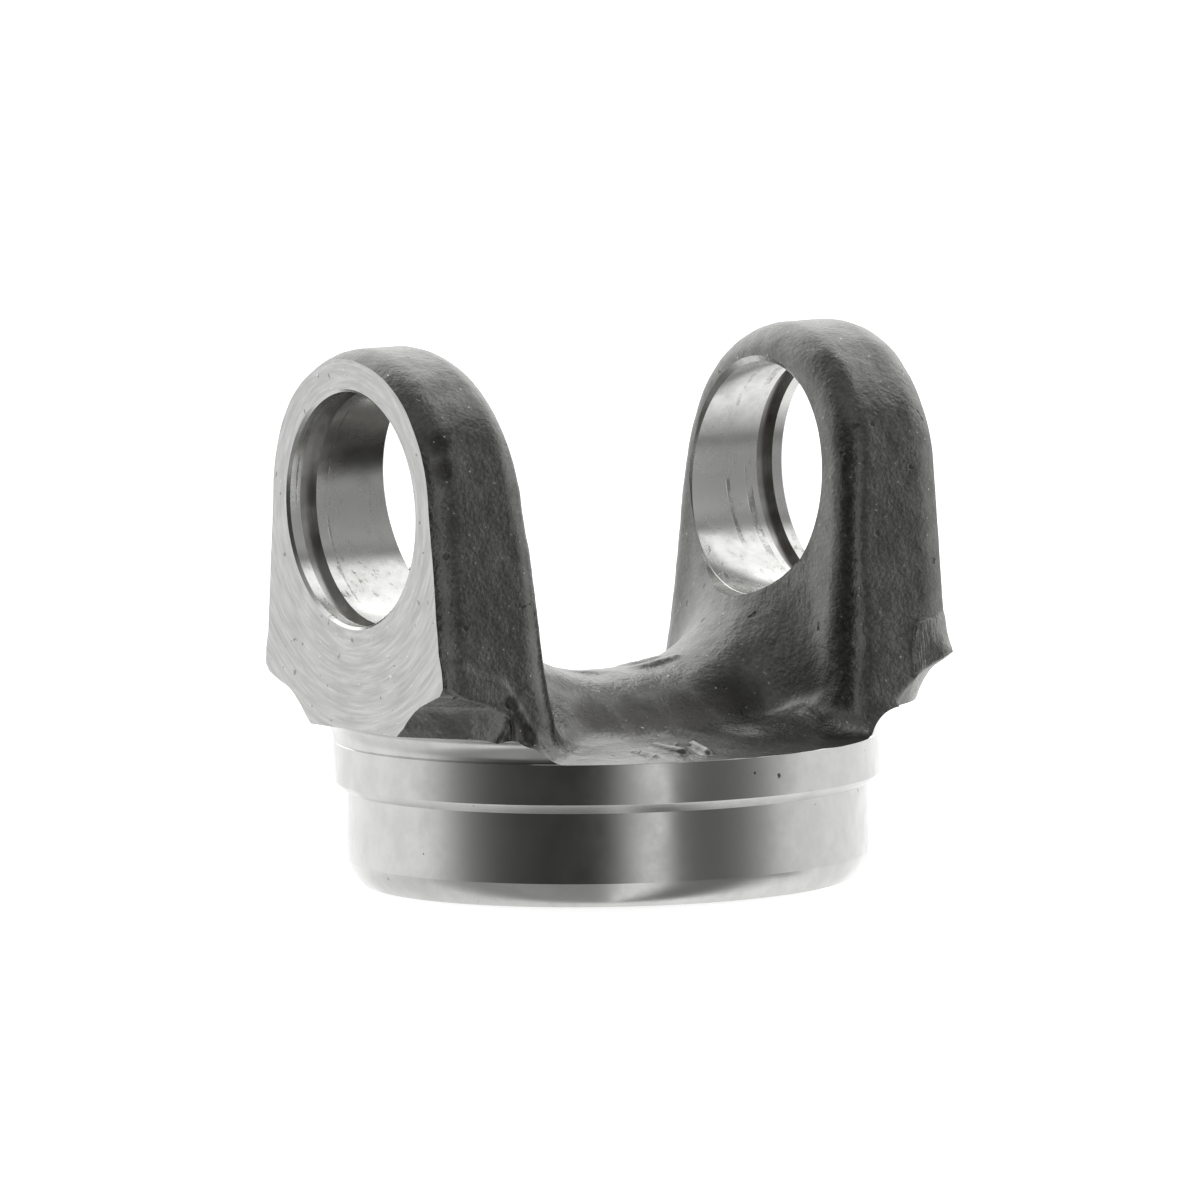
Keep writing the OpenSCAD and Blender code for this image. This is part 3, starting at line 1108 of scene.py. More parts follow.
@dataclass(frozen=True)
class ForgedSkin(SteelFinish):
    """Closed-die forged skin, shot blasted: matt dark steel with a pebbly grain and a few pits.

    Attributes:
        sheared: Colour of the stripes where the flash was sheared off.
        dark: Darker colour in the clouds of the skin.
        scale_and_shade: Colour of the oxide in the grain and in pits, and of the painted shade in patches.
        painted_glint: Colour of the painted glints, pale specks that stand in for highlights.
        pits: Pits of this yoke, each a place, a radius and a reach in mm.
        shade_patches: Patches of painted shade in hollows and corners, in the same form.
        cloud: Size of the clouds in mm. The sizes after it are in mm too.
    """

    sheared: str
    dark: str
    scale_and_shade: str
    painted_glint: str
    pits: tuple
    shade_patches: tuple
    cloud: float = 5.0
    wrinkle: float = 2.6
    pit: float = 1.9
    pebble: float = 1.1
    grain: float = 0.55
    stripe: float = 0.45

    def dress(self, pattern: Pattern) -> dict[str, Socket]:
        """Grain and wrinkles from noise, pits with oxide in them, patches of painted shade, painted glints,
        and the sheared flash.

        Args:
            pattern: Patterns of the material.

        Returns:
            Colour, roughness and relief.
        """
        add = pattern.add
        place = pattern.place()
        drawn = pattern.stretched((1.0, 1.0, 0.06))
        cloud = add("TexNoise", {}, {0: place, "Scale": 1 / self.cloud, "Detail": 3.0, "Roughness": 0.6})
        wrinkle = add("TexNoise", {}, {0: place, "Scale": 1 / self.wrinkle, "Detail": 3.0, "Roughness": 0.6})
        hole = add("TexNoise", {}, {0: place, "Scale": 1 / self.pit, "Detail": 0.0, "Roughness": 0.5})
        pebble = add("TexNoise", {}, {0: place, "Scale": 1 / self.pebble, "Detail": 2.0, "Roughness": 0.6})
        grain = add("TexNoise", {}, {0: place, "Scale": 1 / self.grain, "Detail": 3.0, "Roughness": 0.65})
        glint_noise = add("TexNoise", {}, {0: place, "Scale": 1 / self.grain, "Detail": 1.0, "Roughness": 0.5})
        stripe = add("TexNoise", {}, {0: drawn, "Scale": 1 / self.stripe, "Detail": 2.0, "Roughness": 0.6})
        small = add("MapRange", SMOOTH, {0: hole, 1: 0.14, 2: 0.19, 3: 1.0, 4: 0.0})
        pits = add("Math", GREATER, {0: small, 1: pattern.spots(pattern.shaken(0.6, 0.4), self.pits)})
        # painted glints: pale specks where this noise peaks, standing in for highlights
        painted_glints = add("MapRange", SMOOTH, {0: glint_noise, 1: 0.75, 2: 0.80, 4: 0.8})
        # painted shade: dark patches at the listed places, in the dent under the left ear, round the figures,
        # along the foot of the saddle, at the root of the right ear and by the left face
        old = pattern.spots(pattern.shaken(2.2, 2.6), self.shade_patches)
        cut = add("Attribute", {"attribute_name": "sheared"}, {}, "Fac")
        pale = add("MapRange", SMOOTH, {0: cloud, 1: 0.35, 2: 0.65})
        dusty = add("MapRange", SMOOTH, {0: grain, 1: 0.30, 2: 0.72, 3: 0.35, 4: 0.0})
        lined = add("MapRange", SMOOTH, {0: stripe, 1: 0.3, 2: 0.7})
        skin = add("Mix", COLOURS, {0: pale, 6: linear(self.dark), 7: linear(self.colour)}, 2)
        skin = add("Mix", COLOURS, {0: dusty, 6: skin, 7: linear(self.scale_and_shade)}, 2)
        shear = add("Mix", COLOURS, {0: lined, 6: linear(self.colour), 7: linear(self.sheared)}, 2)
        base = add("Mix", COLOURS, {0: cut, 6: skin, 7: shear}, 2)
        # the patches of painted shade, and the oxide in the pits, darken the colour
        for mark, strength in ((old, 0.75), (pits, 0.6)):
            share = add("Math", TIMES, {0: mark, 1: strength})
            base = add("Mix", COLOURS, {0: share, 6: base, 7: linear(self.scale_and_shade)}, 2)
        # the painted glints are laid over everything else
        base = add("Mix", COLOURS, {0: painted_glints, 6: base, 7: linear(self.painted_glint)}, 2)
        smooth, coarse = self.rough - 0.05, self.rough + 0.07
        rough = add("MapRange", SMOOTH, {0: grain, 1: 0.3, 2: 0.7, 3: smooth, 4: coarse})
        relief = add("Bump", {}, {"Height": wrinkle, "Distance": 0.12 * MM, "Strength": 1.0})
        scored = add("Math", TIMES, {0: stripe, 1: cut})
        for height, rise in ((pebble, 0.06), (grain, 0.05), (pits, -0.12), (scored, 0.10)):
            inputs = {"Height": height, "Distance": rise * MM, "Strength": 1.0, "Normal": relief}
            relief = add("Bump", {}, inputs)
        return {"Base Color": base, "Roughness": rough, "Normal": relief}


@dataclass(frozen=True)
class TurnedSteel(SteelFinish):
    """Lathe-turned steel: satin bright, with hair-fine lines round the part that no eye can part.

    Attributes:
        hazed: Colour where handling has hazed it.
        specked: Colour of specks and pits.
        pits: Pits of this yoke, each a place, a radius and a reach in mm.
        haze: Size of the clouds of haze in mm.
        speck: Distance between specks in mm.
        line: Width of the turning lines in mm, drawn as coarse as they need to be to show.
    """

    hazed: str
    specked: str
    pits: tuple
    haze: float = 6.0
    speck: float = 0.9
    line: float = 0.16

    def dress(self, pattern: Pattern) -> dict[str, Socket]:
        """Faint haze in the colour, a few specks, and fine turning lines in the relief.

        Args:
            pattern: Patterns of the material.

        Returns:
            Colour, roughness and relief.
        """
        add = pattern.add
        place = pattern.place()
        drawn = pattern.stretched((0.02, 0.02, 1.0))
        haze = add("TexNoise", {}, {0: place, "Scale": 1 / self.haze, "Detail": 4.0, "Roughness": 0.65})
        dots = add("TexNoise", {}, {0: place, "Scale": 1 / self.speck, "Detail": 0.0, "Roughness": 0.5})
        lines = add("TexNoise", {}, {0: drawn, "Scale": 1 / self.line, "Detail": 2.0, "Roughness": 0.5})
        specks = add("MapRange", SMOOTH, {0: dots, 1: 0.105, 2: 0.13, 3: 1.0, 4: 0.0})
        specks = add("Math", GREATER, {0: specks, 1: pattern.spots(pattern.shaken(0.5, 0.4), self.pits)})
        dull = add("MapRange", SMOOTH, {0: haze, 1: 0.35, 2: 0.7})
        base = add("Mix", COLOURS, {0: dull, 6: linear(self.colour), 7: linear(self.hazed)}, 2)
        base = add("Mix", COLOURS, {0: specks, 6: base, 7: linear(self.specked)}, 2)
        rough = add("MapRange", SMOOTH, {0: haze, 1: 0.3, 2: 0.7, 3: self.rough, 4: self.rough + 0.08})
        relief = add("Bump", {}, {"Height": lines, "Distance": 0.004 * MM, "Strength": 1.0})
        return {"Base Color": base, "Roughness": rough, "Normal": relief}


@dataclass(frozen=True)
class MilledSteel(SteelFinish):
    """Milled end faces: bright, with arcs of the cutter about the bore, small dents painted near white as
    highlights, and dark dots.

    Attributes:
        marked: Colour of the brighter arcs.
        nick_highlight: Near-white colour of the small dents, a painted highlight.
        dotted: Colour of the dots.
        bore_z: Height of the axis of the bores in mm.
        arc: Width of the cutter's arcs in mm.
        sweep: Width of the broader arcs in which its polish changes.
        dot: Distance between dots in mm.
    """

    marked: str
    nick_highlight: str
    dotted: str
    bore_z: float
    arc: float = 0.55
    sweep: float = 1.0
    dot: float = 1.3

    def dress(self, pattern: Pattern) -> dict[str, Socket]:
        """Arcs, dents with painted highlights, and dots from noise laid out by distance from the bore and
        angle about it.

        Args:
            pattern: Patterns of the material.

        Returns:
            Colour, roughness and relief.
        """
        add = pattern.add
        long_arcs = pattern.around(self.bore_z, 1.0, 2.0)
        broad_arcs = pattern.around(self.bore_z, 0.55, 4.0)
        short_arcs = pattern.around(self.bore_z, 1.0, 8.0)
        place = pattern.place()
        arcs = add("TexNoise", {}, {0: long_arcs, "Scale": 1 / self.arc, "Detail": 3.0, "Roughness": 0.7})
        swept = add("TexNoise", {}, {0: broad_arcs, "Scale": 1 / self.sweep, "Detail": 2.0, "Roughness": 0.6})
        torn = add("TexNoise", {}, {0: short_arcs, "Scale": 1 / self.arc, "Detail": 2.0, "Roughness": 0.6})
        holes = add("TexNoise", {}, {0: place, "Scale": 1 / self.dot, "Detail": 1.0, "Roughness": 0.5})
        bright = add("MapRange", SMOOTH, {0: arcs, 1: 0.3, 2: 0.75})
        # painted highlights: small dents in the relief that are also painted near white
        nicks_and_glints = add("MapRange", SMOOTH, {0: torn, 1: 0.70, 2: 0.76})
        dots = add("MapRange", SMOOTH, {0: holes, 1: 0.22, 2: 0.27, 3: 1.0, 4: 0.0})
        base = add("Mix", COLOURS, {0: bright, 6: linear(self.colour), 7: linear(self.marked)}, 2)
        for mark, strength, colour in ((nicks_and_glints, 0.8, self.nick_highlight), (dots, 0.6, self.dotted)):
            share = add("Math", TIMES, {0: mark, 1: strength})
            base = add("Mix", COLOURS, {0: share, 6: base, 7: linear(colour)}, 2)
        smooth, coarse = self.rough - 0.06, self.rough + 0.06
        rough = add("MapRange", SMOOTH, {0: swept, 1: 0.3, 2: 0.7, 3: smooth, 4: coarse})
        relief = add("Bump", {}, {"Height": arcs, "Distance": 0.010 * MM, "Strength": 1.0})
        relief = add("Bump", {}, {"Height": nicks_and_glints, "Distance": 0.02 * MM, "Strength": 1.0, "Normal": relief})
        return {"Base Color": base, "Roughness": rough, "Normal": relief}


@dataclass(frozen=True)
class BoredSteel(SteelFinish):
    """Bored walls: bright, with lines round the bore, painted shade high in the left bore, and scores where a
    cup was pressed.

    Attributes:
        hazed: Colour of the haze.
        painted_shade_colour: Colour of the painted shade high in the left bore, for the dark things its wall
            reflects.
        scored: Colour of the scores.
        bore_z: Height of the axis of the bores in mm.
        rings: Scored rings of this yoke, each as its place along X and half its width in mm.
        painted_shade: Patches of painted shade, each a place, a radius and a reach in mm.
        haze: Size of the clouds of haze in mm. The sizes after it are in mm too.
    """

    hazed: str
    painted_shade_colour: str
    scored: str
    bore_z: float
    rings: tuple
    painted_shade: tuple
    haze: float = 4.0
    line: float = 0.22
    score: float = 1.0
    gap: float = 6.0
    ring_edge: float = 0.12

    def dress(self, pattern: Pattern) -> dict[str, Socket]:
        """Lines and rings that run round the bore, cloudy haze, painted shade high in the left bore and
        drawn-out scores.

        Args:
            pattern: Patterns of the material.

        Returns:
            Colour, roughness and relief.
        """
        add = pattern.add
        place = pattern.place()
        drawn = pattern.stretched((1.0, 0.03, 0.03))
        smeared = pattern.stretched((1.0, 0.6, 0.6))
        parts = add("SeparateXYZ", {}, {0: place}).node.outputs
        haze = add("TexNoise", {}, {0: place, "Scale": 1 / self.haze, "Detail": 4.0, "Roughness": 0.65})
        lines = add("TexNoise", {}, {0: drawn, "Scale": 1 / self.line, "Detail": 2.0, "Roughness": 0.5})
        galled = add("TexNoise", {}, {0: smeared, "Scale": 1 / self.score, "Detail": 4.0, "Roughness": 0.7})
        gaps = add("TexNoise", {}, {0: place, "Scale": 1 / self.gap, "Detail": 5.0, "Roughness": 0.75})
        low_ends = {1: self.bore_z - 12, 2: self.bore_z - 6, 3: 1.0, 4: 0.25}
        low = add("MapRange", SMOOTH, {0: parts[2]} | low_ends)
        rubbed = add("MapRange", SMOOTH, {0: haze, 1: 0.50, 2: 0.62})
        torn = add("MapRange", SMOOTH, {0: galled, 1: 0.55, 2: 0.64})
        broken = add("MapRange", SMOOTH, {0: gaps, 1: 0.44, 2: 0.62})
        scores = add("Math", TIMES, {0: torn, 1: add("Math", TIMES, {0: rubbed, 1: low})})
        for middle, half in self.rings:
            start, end = middle - half, middle + half
            ring = pattern.window(parts[0], (start - self.ring_edge, start, end, end + self.ring_edge))
            scores = add("Math", GREATER, {0: scores, 1: add("Math", TIMES, {0: ring, 1: broken})})
        # painted shade: darker patches high in the left bore, standing in for the dark things that its wall
        # reflects
        painted_shade = pattern.spots(pattern.shaken(3.0, 3.0), self.painted_shade)
        dull = add("MapRange", SMOOTH, {0: haze, 1: 0.3, 2: 0.7})
        base = add("Mix", COLOURS, {0: dull, 6: linear(self.colour), 7: linear(self.hazed)}, 2)
        for mark, strength, colour in ((painted_shade, 0.8, self.painted_shade_colour), (scores, 0.6, self.scored)):
            share = add("Math", TIMES, {0: mark, 1: strength})
            base = add("Mix", COLOURS, {0: share, 6: base, 7: linear(colour)}, 2)
        rough = add("MapRange", SMOOTH, {0: haze, 1: 0.3, 2: 0.7, 3: self.rough, 4: self.rough + 0.1})
        relief = add("Bump", {}, {"Height": lines, "Distance": 0.004 * MM, "Strength": 1.0})
        inputs = {"Height": scores, "Distance": -0.02 * MM, "Strength": 1.0, "Normal": relief}
        return {"Base Color": base, "Roughness": rough, "Normal": add("Bump", {}, inputs)}


@dataclass(frozen=True)
class GroovedSteel(SteelFinish):
    """Plunge-cut ring grooves: a torn, duller cut that holds a trace of oil.

    Attributes:
        oiled: Colour under the oil.
        line: Width of the tool marks in mm.
        pool: Size of the stretches of oil in mm.
    """

    oiled: str
    line: float = 0.15
    pool: float = 5.0

    def dress(self, pattern: Pattern) -> dict[str, Socket]:
        """Close lines round the groove, and darker oil in cloudy stretches.

        Args:
            pattern: Patterns of the material.

        Returns:
            Colour and relief.
        """
        add = pattern.add
        place = pattern.place()
        drawn = pattern.stretched((1.0, 0.05, 0.05))
        lines = add("TexNoise", {}, {0: drawn, "Scale": 1 / self.line, "Detail": 2.0, "Roughness": 0.6})
        pools = add("TexNoise", {}, {0: place, "Scale": 1 / self.pool, "Detail": 2.0, "Roughness": 0.5})
        oil = add("MapRange", SMOOTH, {0: pools, 1: 0.35, 2: 0.65})
        base = add("Mix", COLOURS, {0: oil, 6: linear(self.colour), 7: linear(self.oiled)}, 2)
        relief = add("Bump", {}, {"Height": lines, "Distance": 0.006 * MM, "Strength": 1.0})
        return {"Base Color": base, "Normal": relief}


# STUDIO


@dataclass(frozen=True)
class Studio:
    """A soft studio as a world: bright sides and back, a dim camera side, and one upright card.

    Angles are in degrees. Azimuth is measured from the camera, and grows to its right. Lift is the
    angle above the horizon. A share is the azimuth as a part of a full turn, plus a half. Four values
    together are the ends of a window.

    Attributes:
        camera_azimuth: Turn of the camera from Y.
        top: Strength overhead.
        most: Strength that the stops of the walls and the table are given against.
        around: Strength of the walls, as stops of azimuth and strength.
        reach: Lift at which the walls end, as stops of azimuth and lift.
        reach_most: Lift that those stops are given against.
        reach_soft: Half the lift over which the walls pass into what is overhead.
        table: Strength below the horizon, as stops of azimuth and strength.
        table_lift: Lifts between which the walls pass into the table.
        back_turn: Azimuths in radians from which the back wall is brighter.
        back_gain: How many times brighter it is.
        band_strength: Strength of the strip light above the right-hand side.
        seam_lifts: Two dark seams in the walls at the right.
        seam_share: How much of a seam shows.
        seam_strength: Strength in a seam.
    """

    camera_azimuth: float = 33.1
    top: float = 0.30
    most: float = 1.4
    around: tuple = (
        (-180, 1.25), (-120, 1.08), (-100, 1.05), (-90, 0.97), (-82, 0.82), (-76, 0.60), (-70, 0.40),
        (-64, 0.25), (-58, 0.17), (-50, 0.10), (-40, 0.065), (-25, 0.04), (-7, 0.04), (0, 0.09), (5, 0.24),
        (10, 0.46), (15, 0.70), (20, 0.90), (25, 0.95), (27.5, 0.30), (31, 0.19), (42, 0.13), (50, 0.14),
        (60, 0.20), (68, 0.32), (74, 0.48), (80, 0.66), (87, 0.83), (95, 0.95), (130, 1.02), (160, 1.25),
        (180, 1.25))
    reach: tuple = (
        (-180, 68), (-165, 68), (-100, 66), (-78, 52), (-55, 36), (40, 36), (60, 34), (80, 30), (100, 24),
        (118, 60), (150, 68), (180, 68))
    reach_most: float = 90.0
    reach_soft: float = 9.0
    table: tuple = (
        (-180, 1.00), (-100, 0.85), (-88, 0.60), (-78, 0.42), (-69, 0.34), (-58, 0.33), (-47, 0.36),
        (-21, 0.32), (-3, 0.30), (1, 0.50), (7, 1.00), (24, 1.10), (28, 0.62), (32, 0.30), (40, 0.20),
        (62, 0.20), (69, 0.26), (75, 0.40), (82, 0.60), (90, 0.85), (108, 1.12), (180, 1.00))
    table_lift: tuple = (-26.0, -14.0)
    back_turn: tuple = (1.75, 2.2)
    back_lift: tuple = (0.0, 20.0, 70.0, 80.0)
    back_gain: float = 1.6
    band_turn: tuple = (0.70, 0.75, 0.92, 0.97)
    band_lift: tuple = (43.0, 47.0, 62.0, 68.0)
    band_strength: float = 1.3
    seam_turn: tuple = (0.63, 0.67, 0.76, 0.80)
    seam_lifts: tuple = ((-34.0, -30.0, -27.0, -22.0), (37.0, 40.0, 42.0, 45.0))
    seam_share: float = 0.75
    seam_strength: float = 0.08

    def by_azimuth(self, pattern: Pattern, share: Socket, stops: tuple, most: float) -> Socket:
        """A value that changes with the azimuth.

        Args:
            pattern: Patterns of the world.
            share: Azimuth as a share.
            stops: Pairs of azimuth and value.
            most: Value that a stop of 1 in the ramp stands for.

        Returns:
            The value.
        """
        colour = pattern.add("ValToRGB", {}, {0: share})
        ramp_stops = colour.node.color_ramp.elements
        while len(ramp_stops) < len(stops):
            ramp_stops.new(0.5)
        for element, (angle, value) in zip(ramp_stops, stops):
            element.position = angle / 360 + 0.5
            element.color = (value / most, value / most, value / most, 1.0)
        return pattern.add("Math", TIMES, {0: colour, 1: most})

    def strength(self, pattern: Pattern) -> Socket:
        """Strength of the studio by direction: walls, what is overhead, strip light, table and seams.

        Args:
            pattern: Patterns of the world.

        Returns:
            The strength.
        """
        add = pattern.add
        turn = math.radians(self.camera_azimuth)
        toward = (-math.sin(turn), -math.cos(turn), 0.0)
        aside = (math.cos(turn), -math.sin(turn), 0.0)
        direction = add("TexCoord", {}, {}, "Generated")
        ahead = add("VectorMath", {"operation": "DOT_PRODUCT"}, {0: direction, 1: toward}, "Value")
        right = add("VectorMath", {"operation": "DOT_PRODUCT"}, {0: direction, 1: aside}, "Value")
        azimuth = add("Math", {"operation": "ARCTAN2"}, {0: right, 1: ahead})
        part = add("Math", {"operation": "DIVIDE"}, {0: azimuth, 1: 2 * math.pi})
        share = add("Math", ADD, {0: part, 1: 0.5})
        height = add("SeparateXYZ", {}, {0: direction}, 2)
        lift = add("Math", {"operation": "DEGREES"}, {0: add("Math", {"operation": "ARCSINE"}, {0: height})})
        walls = self.by_azimuth(pattern, share, self.around, self.most)
        reach = self.by_azimuth(pattern, share, self.reach, self.reach_most)
        table = self.by_azimuth(pattern, share, self.table, self.most)
        aback = add("Math", {"operation": "ABSOLUTE"}, {0: azimuth})
        aback = add("MapRange", SMOOTH, {0: aback, 1: self.back_turn[0], 2: self.back_turn[1]})
        back = add("Math", TIMES, {0: aback, 1: pattern.window(lift, self.back_lift)})
        gain = add("MapRange", SMOOTH, {0: back, 3: 1.0, 4: self.back_gain})
        walls = add("Math", TIMES, {0: walls, 1: gain})
        past = add("Math", LESS, {0: lift, 1: reach})
        over = add("MapRange", SMOOTH, {0: past, 1: -self.reach_soft, 2: self.reach_soft})
        low, high = self.table_lift
        under = add("MapRange", SMOOTH, {0: lift, 1: low, 2: high, 3: 1.0, 4: 0.0})
        across = pattern.window(share, self.band_turn)
        band = add("Math", TIMES, {0: across, 1: pattern.window(lift, self.band_lift)})
        low_seam, high_seam = [pattern.window(lift, ends) for ends in self.seam_lifts]
        seams = add("Math", ADD, {0: low_seam, 1: high_seam})
        seam = add("Math", TIMES, {0: seams, 1: pattern.window(share, self.seam_turn)})
        seam = add("Math", TIMES, {0: seam, 1: self.seam_share})
        lit = add("Mix", NUMBERS, {0: over, 2: walls, 3: self.top})
        lit = add("Mix", NUMBERS, {0: band, 2: lit, 3: self.band_strength})
        lit = add("Mix", NUMBERS, {0: under, 2: lit, 3: table})
        return add("Mix", NUMBERS, {0: seam, 2: lit, 3: self.seam_strength})

    def build(self) -> bpy.types.World:
        """Makes the world: plain white to the camera, the studio to everything else.

        Returns:
            The world, which is the scene's own.
        """
        world = bpy.data.worlds.new("studio")
        world.use_nodes = True
        pattern = Pattern(world.node_tree)
        seen = pattern.add("LightPath", {}, {}, "Is Camera Ray")
        strength = pattern.add("Mix", NUMBERS, {0: seen, 2: self.strength(pattern), 3: 1.0})
        background = world.node_tree.nodes["Background"]
        background.inputs["Color"].default_value = linear("#ffffff")
        world.node_tree.links.new(strength, background.inputs["Strength"])
        bpy.context.scene.world = world
        return world


@dataclass(frozen=True)
class Floor:
    """A plain pale floor with the soft shadow of the part, which is clear when seen from below.

    Attributes:
        half: Half its width.
        colour: Its colour as sRGB hex.
        rough: Its roughness, that of matt paper.
        glow: How much it shines of itself, so that it meets the white background.
    """

    half: float = 3000.0
    colour: str = "#e8e8e8"
    rough: float = 0.9
    glow: float = 0.75

    def paper(self) -> bpy.types.Material:
        """Matt pale paper: no gloss and no grain that shows from where the camera stands.

        Returns:
            The material, which is clear on its back.
        """
        material = bpy.data.materials.new("pale_paper_floor")
        material.use_nodes = True
        tree = material.node_tree
        shader = tree.nodes["Principled BSDF"]
        shader.inputs["Base Color"].default_value = linear(self.colour)
        shader.inputs["Roughness"].default_value = self.rough
        shader.inputs["Emission Color"].default_value = linear("#ffffff")
        shader.inputs["Emission Strength"].default_value = self.glow
        below = add_node(tree, "NewGeometry", {}, {}, "Backfacing")
        clear = add_node(tree, "BsdfTransparent", {}, {})
        paper = add_node(tree, "MixShader", {}, {0: below, 1: shader.outputs["BSDF"], 2: clear})
        tree.links.new(paper, tree.nodes["Material Output"].inputs["Surface"])
        return material

    def build(self) -> bpy.types.Object:
        """Lays the floor under the part.

        Returns:
            The floor, which the camera sees and reflections don't.
        """
        mesh = bpy.data.meshes.new("floor")
        w = self.half * MM
        mesh.from_pydata([(-w, -w, 0), (w, -w, 0), (w, w, 0), (-w, w, 0)], [], [(0, 1, 2, 3)])
        mesh.materials.append(self.paper())
        floor = bpy.data.objects.new("floor", mesh)
        bpy.context.scene.collection.objects.link(floor)
        floor.visible_glossy = False
        floor.visible_diffuse = False
        floor.visible_shadow = False
        return floor


@dataclass(frozen=True)
class Viewpoint:
    """The camera of the photograph, fitted to the outlines of the part.

    Attributes:
        distance: From the camera to the target.
        azimuth: Turn of the camera from Y in degrees.
        elevation: Height of the camera above the target in degrees.
        roll: Turn of the picture in degrees.
        shift_x: How far the camera stands to the left of the line to the target.
        shift_y: How far it stands below that line.
        target_z: Height of the target.
        focal_px: Focal length in pixels of the photograph.
        image_px: Width of the photograph in pixels.
        sensor: Width of the sensor.
        clip_end: How far the camera sees, in metres.
    """

    distance: float = 2035.4
    azimuth: float = 33.1
    elevation: float = 5.83
    roll: float = -1.01
    shift_x: float = 0.522
    shift_y: float = 1.063
    target_z: float = 39.37
    focal_px: float = 14837.0
    image_px: float = 1200.0
    sensor: float = 36.0
    clip_end: float = 20.0

    def build(self) -> bpy.types.Object:
        """Places the camera and makes it the scene's own.

        Returns:
            The camera.
        """
        turn, tilt, roll = (math.radians(a) for a in (self.azimuth, self.elevation, self.roll))
        ahead = np.array([math.sin(turn) * math.cos(tilt), math.cos(turn) * math.cos(tilt), -math.sin(tilt)])
        right = np.array([math.cos(turn), -math.sin(turn), 0.0])
        up = np.cross(right, ahead)
        rolled_right = math.cos(roll) * right + math.sin(roll) * up
        rolled_up = math.cos(roll) * up - math.sin(roll) * right
        place = np.array([0, 0, self.target_z]) - self.shift_x * rolled_right
        place = place - self.shift_y * rolled_up - self.distance * ahead
        data = bpy.data.cameras.new("camera")
        data.sensor_width = self.sensor
        data.lens = self.focal_px / self.image_px * self.sensor
        data.clip_end = self.clip_end
        camera = bpy.data.objects.new("camera", data)
        matrix = np.eye(4)
        matrix[:3, 0] = rolled_right
        matrix[:3, 1] = rolled_up
        matrix[:3, 2] = -ahead
        matrix[:3, 3] = place * MM
        camera.matrix_world = Matrix(matrix.tolist())
        bpy.context.scene.collection.objects.link(camera)
        bpy.context.scene.camera = camera
        return camera


# THE EARS OF THIS FORGING


LEFT_EAR = Ear(
    side=-1, inner_x=24.9, inner_slope=0.10, inner_bow=0.0, offset_y=0.0, crown_rise=0.6,
    flash_x=(26.0, 29.6, 31.3, 40.8), flash_z=(21.8, 28.6, 31.3, 35.0), flash_proud=0.15,
    tip_out=0.3, tip_top=35.5, tip_span=2.5, sheared=0.3,
    pocket_r=(20.0, 24.0, 25.1, 26.0, 26.9, 27.5, 28.3, 29.0, 30.2, 32.2, 32.8, 34.0, 45.0),
    pocket_z=(22.6, 23.1, 23.4, 23.9, 24.8, 25.8, 27.1, 27.9, 28.6, 29.7, 30.8, 32.0, 34.0))
RIGHT_EAR = Ear(
    side=1, inner_x=25.3, inner_slope=0.09, inner_bow=-0.0006, offset_y=-1.2, crown_rise=0.35,
    flash_x=(34.3, 34.8, 35.4, 40.8), flash_z=(24.0, 33.0, 34.8, 35.4), flash_proud=0.35,
    tip_out=1.4, tip_top=34.3, tip_span=4.0, sheared=1.0,
    pocket_r=(20.0, 25.9, 28.0, 28.85, 29.65, 30.6, 31.5, 32.4, 33.4, 34.6, 36.0, 45.0),
    pocket_z=(20.0, 20.8, 22.6, 24.1, 25.6, 27.1, 28.1, 28.7, 29.3, 30.2, 31.2, 34.0))

# RODS: SWELLS ON THE LEDGE, FIGURES ON THE LEDGE AND BARS ON THE SADDLE, AND DENTS


SWELLS = (
    Rod((13.0, -20.0, 17.6), (19.5, -20.6, 18.2), 3.6, 4.0),
    Rod((13.0, 19.5, 17.6), (19.5, 19.0, 18.2), 3.6, 4.0))
FIGURES = (
    Rod((-7.9, -24.0, 20.75), (-7.9, -31.0, 20.4), 0.65, 0.75),
    Rod((-5.8, -26.2, 20.65), (-2.8, -26.2, 20.65), 0.6, 0.6),
    Rod((-2.8, -26.2, 20.7), (-5.1, -33.0, 20.3), 0.65, 0.7))
BARS = (
    Rod((3.6, -1.0, 27.95), (10.8, -1.0, 28.95), 1.0, 1.15),
    Rod((4.2, 2.6, 28.0), (10.4, 2.6, 28.9), 0.8, 0.8),
    Rod((-10.6, -1.6, 28.7), (0.6, -1.6, 27.7), 1.0, 1.0))
DENTS = (
    Rod((-11.9, -25.6, 20.6), (-12.1, -31.2, 20.25), 0.55, 0.55),
    Rod((-31.0, -24.9, 29.0), (-30.3, -24.9, 27.2), 0.7, 0.9),
    Rod((-30.3, -25.1, 27.0), (-28.9, -25.6, 23.8), 0.9, 1.6))

# SPOTS, EACH AS ITS PLACE, RADIUS AND REACH, AND SCORED RINGS, EACH AS ITS PLACE AND HALF ITS WIDTH


SKIN_PITS = (
    (30.8, -20.7, 61.9, 0.25, 0.25), (36.1, -22.2, 55.8, 0.3, 0.25), (29.9, -23.0, 47.2, 0.3, 0.3))
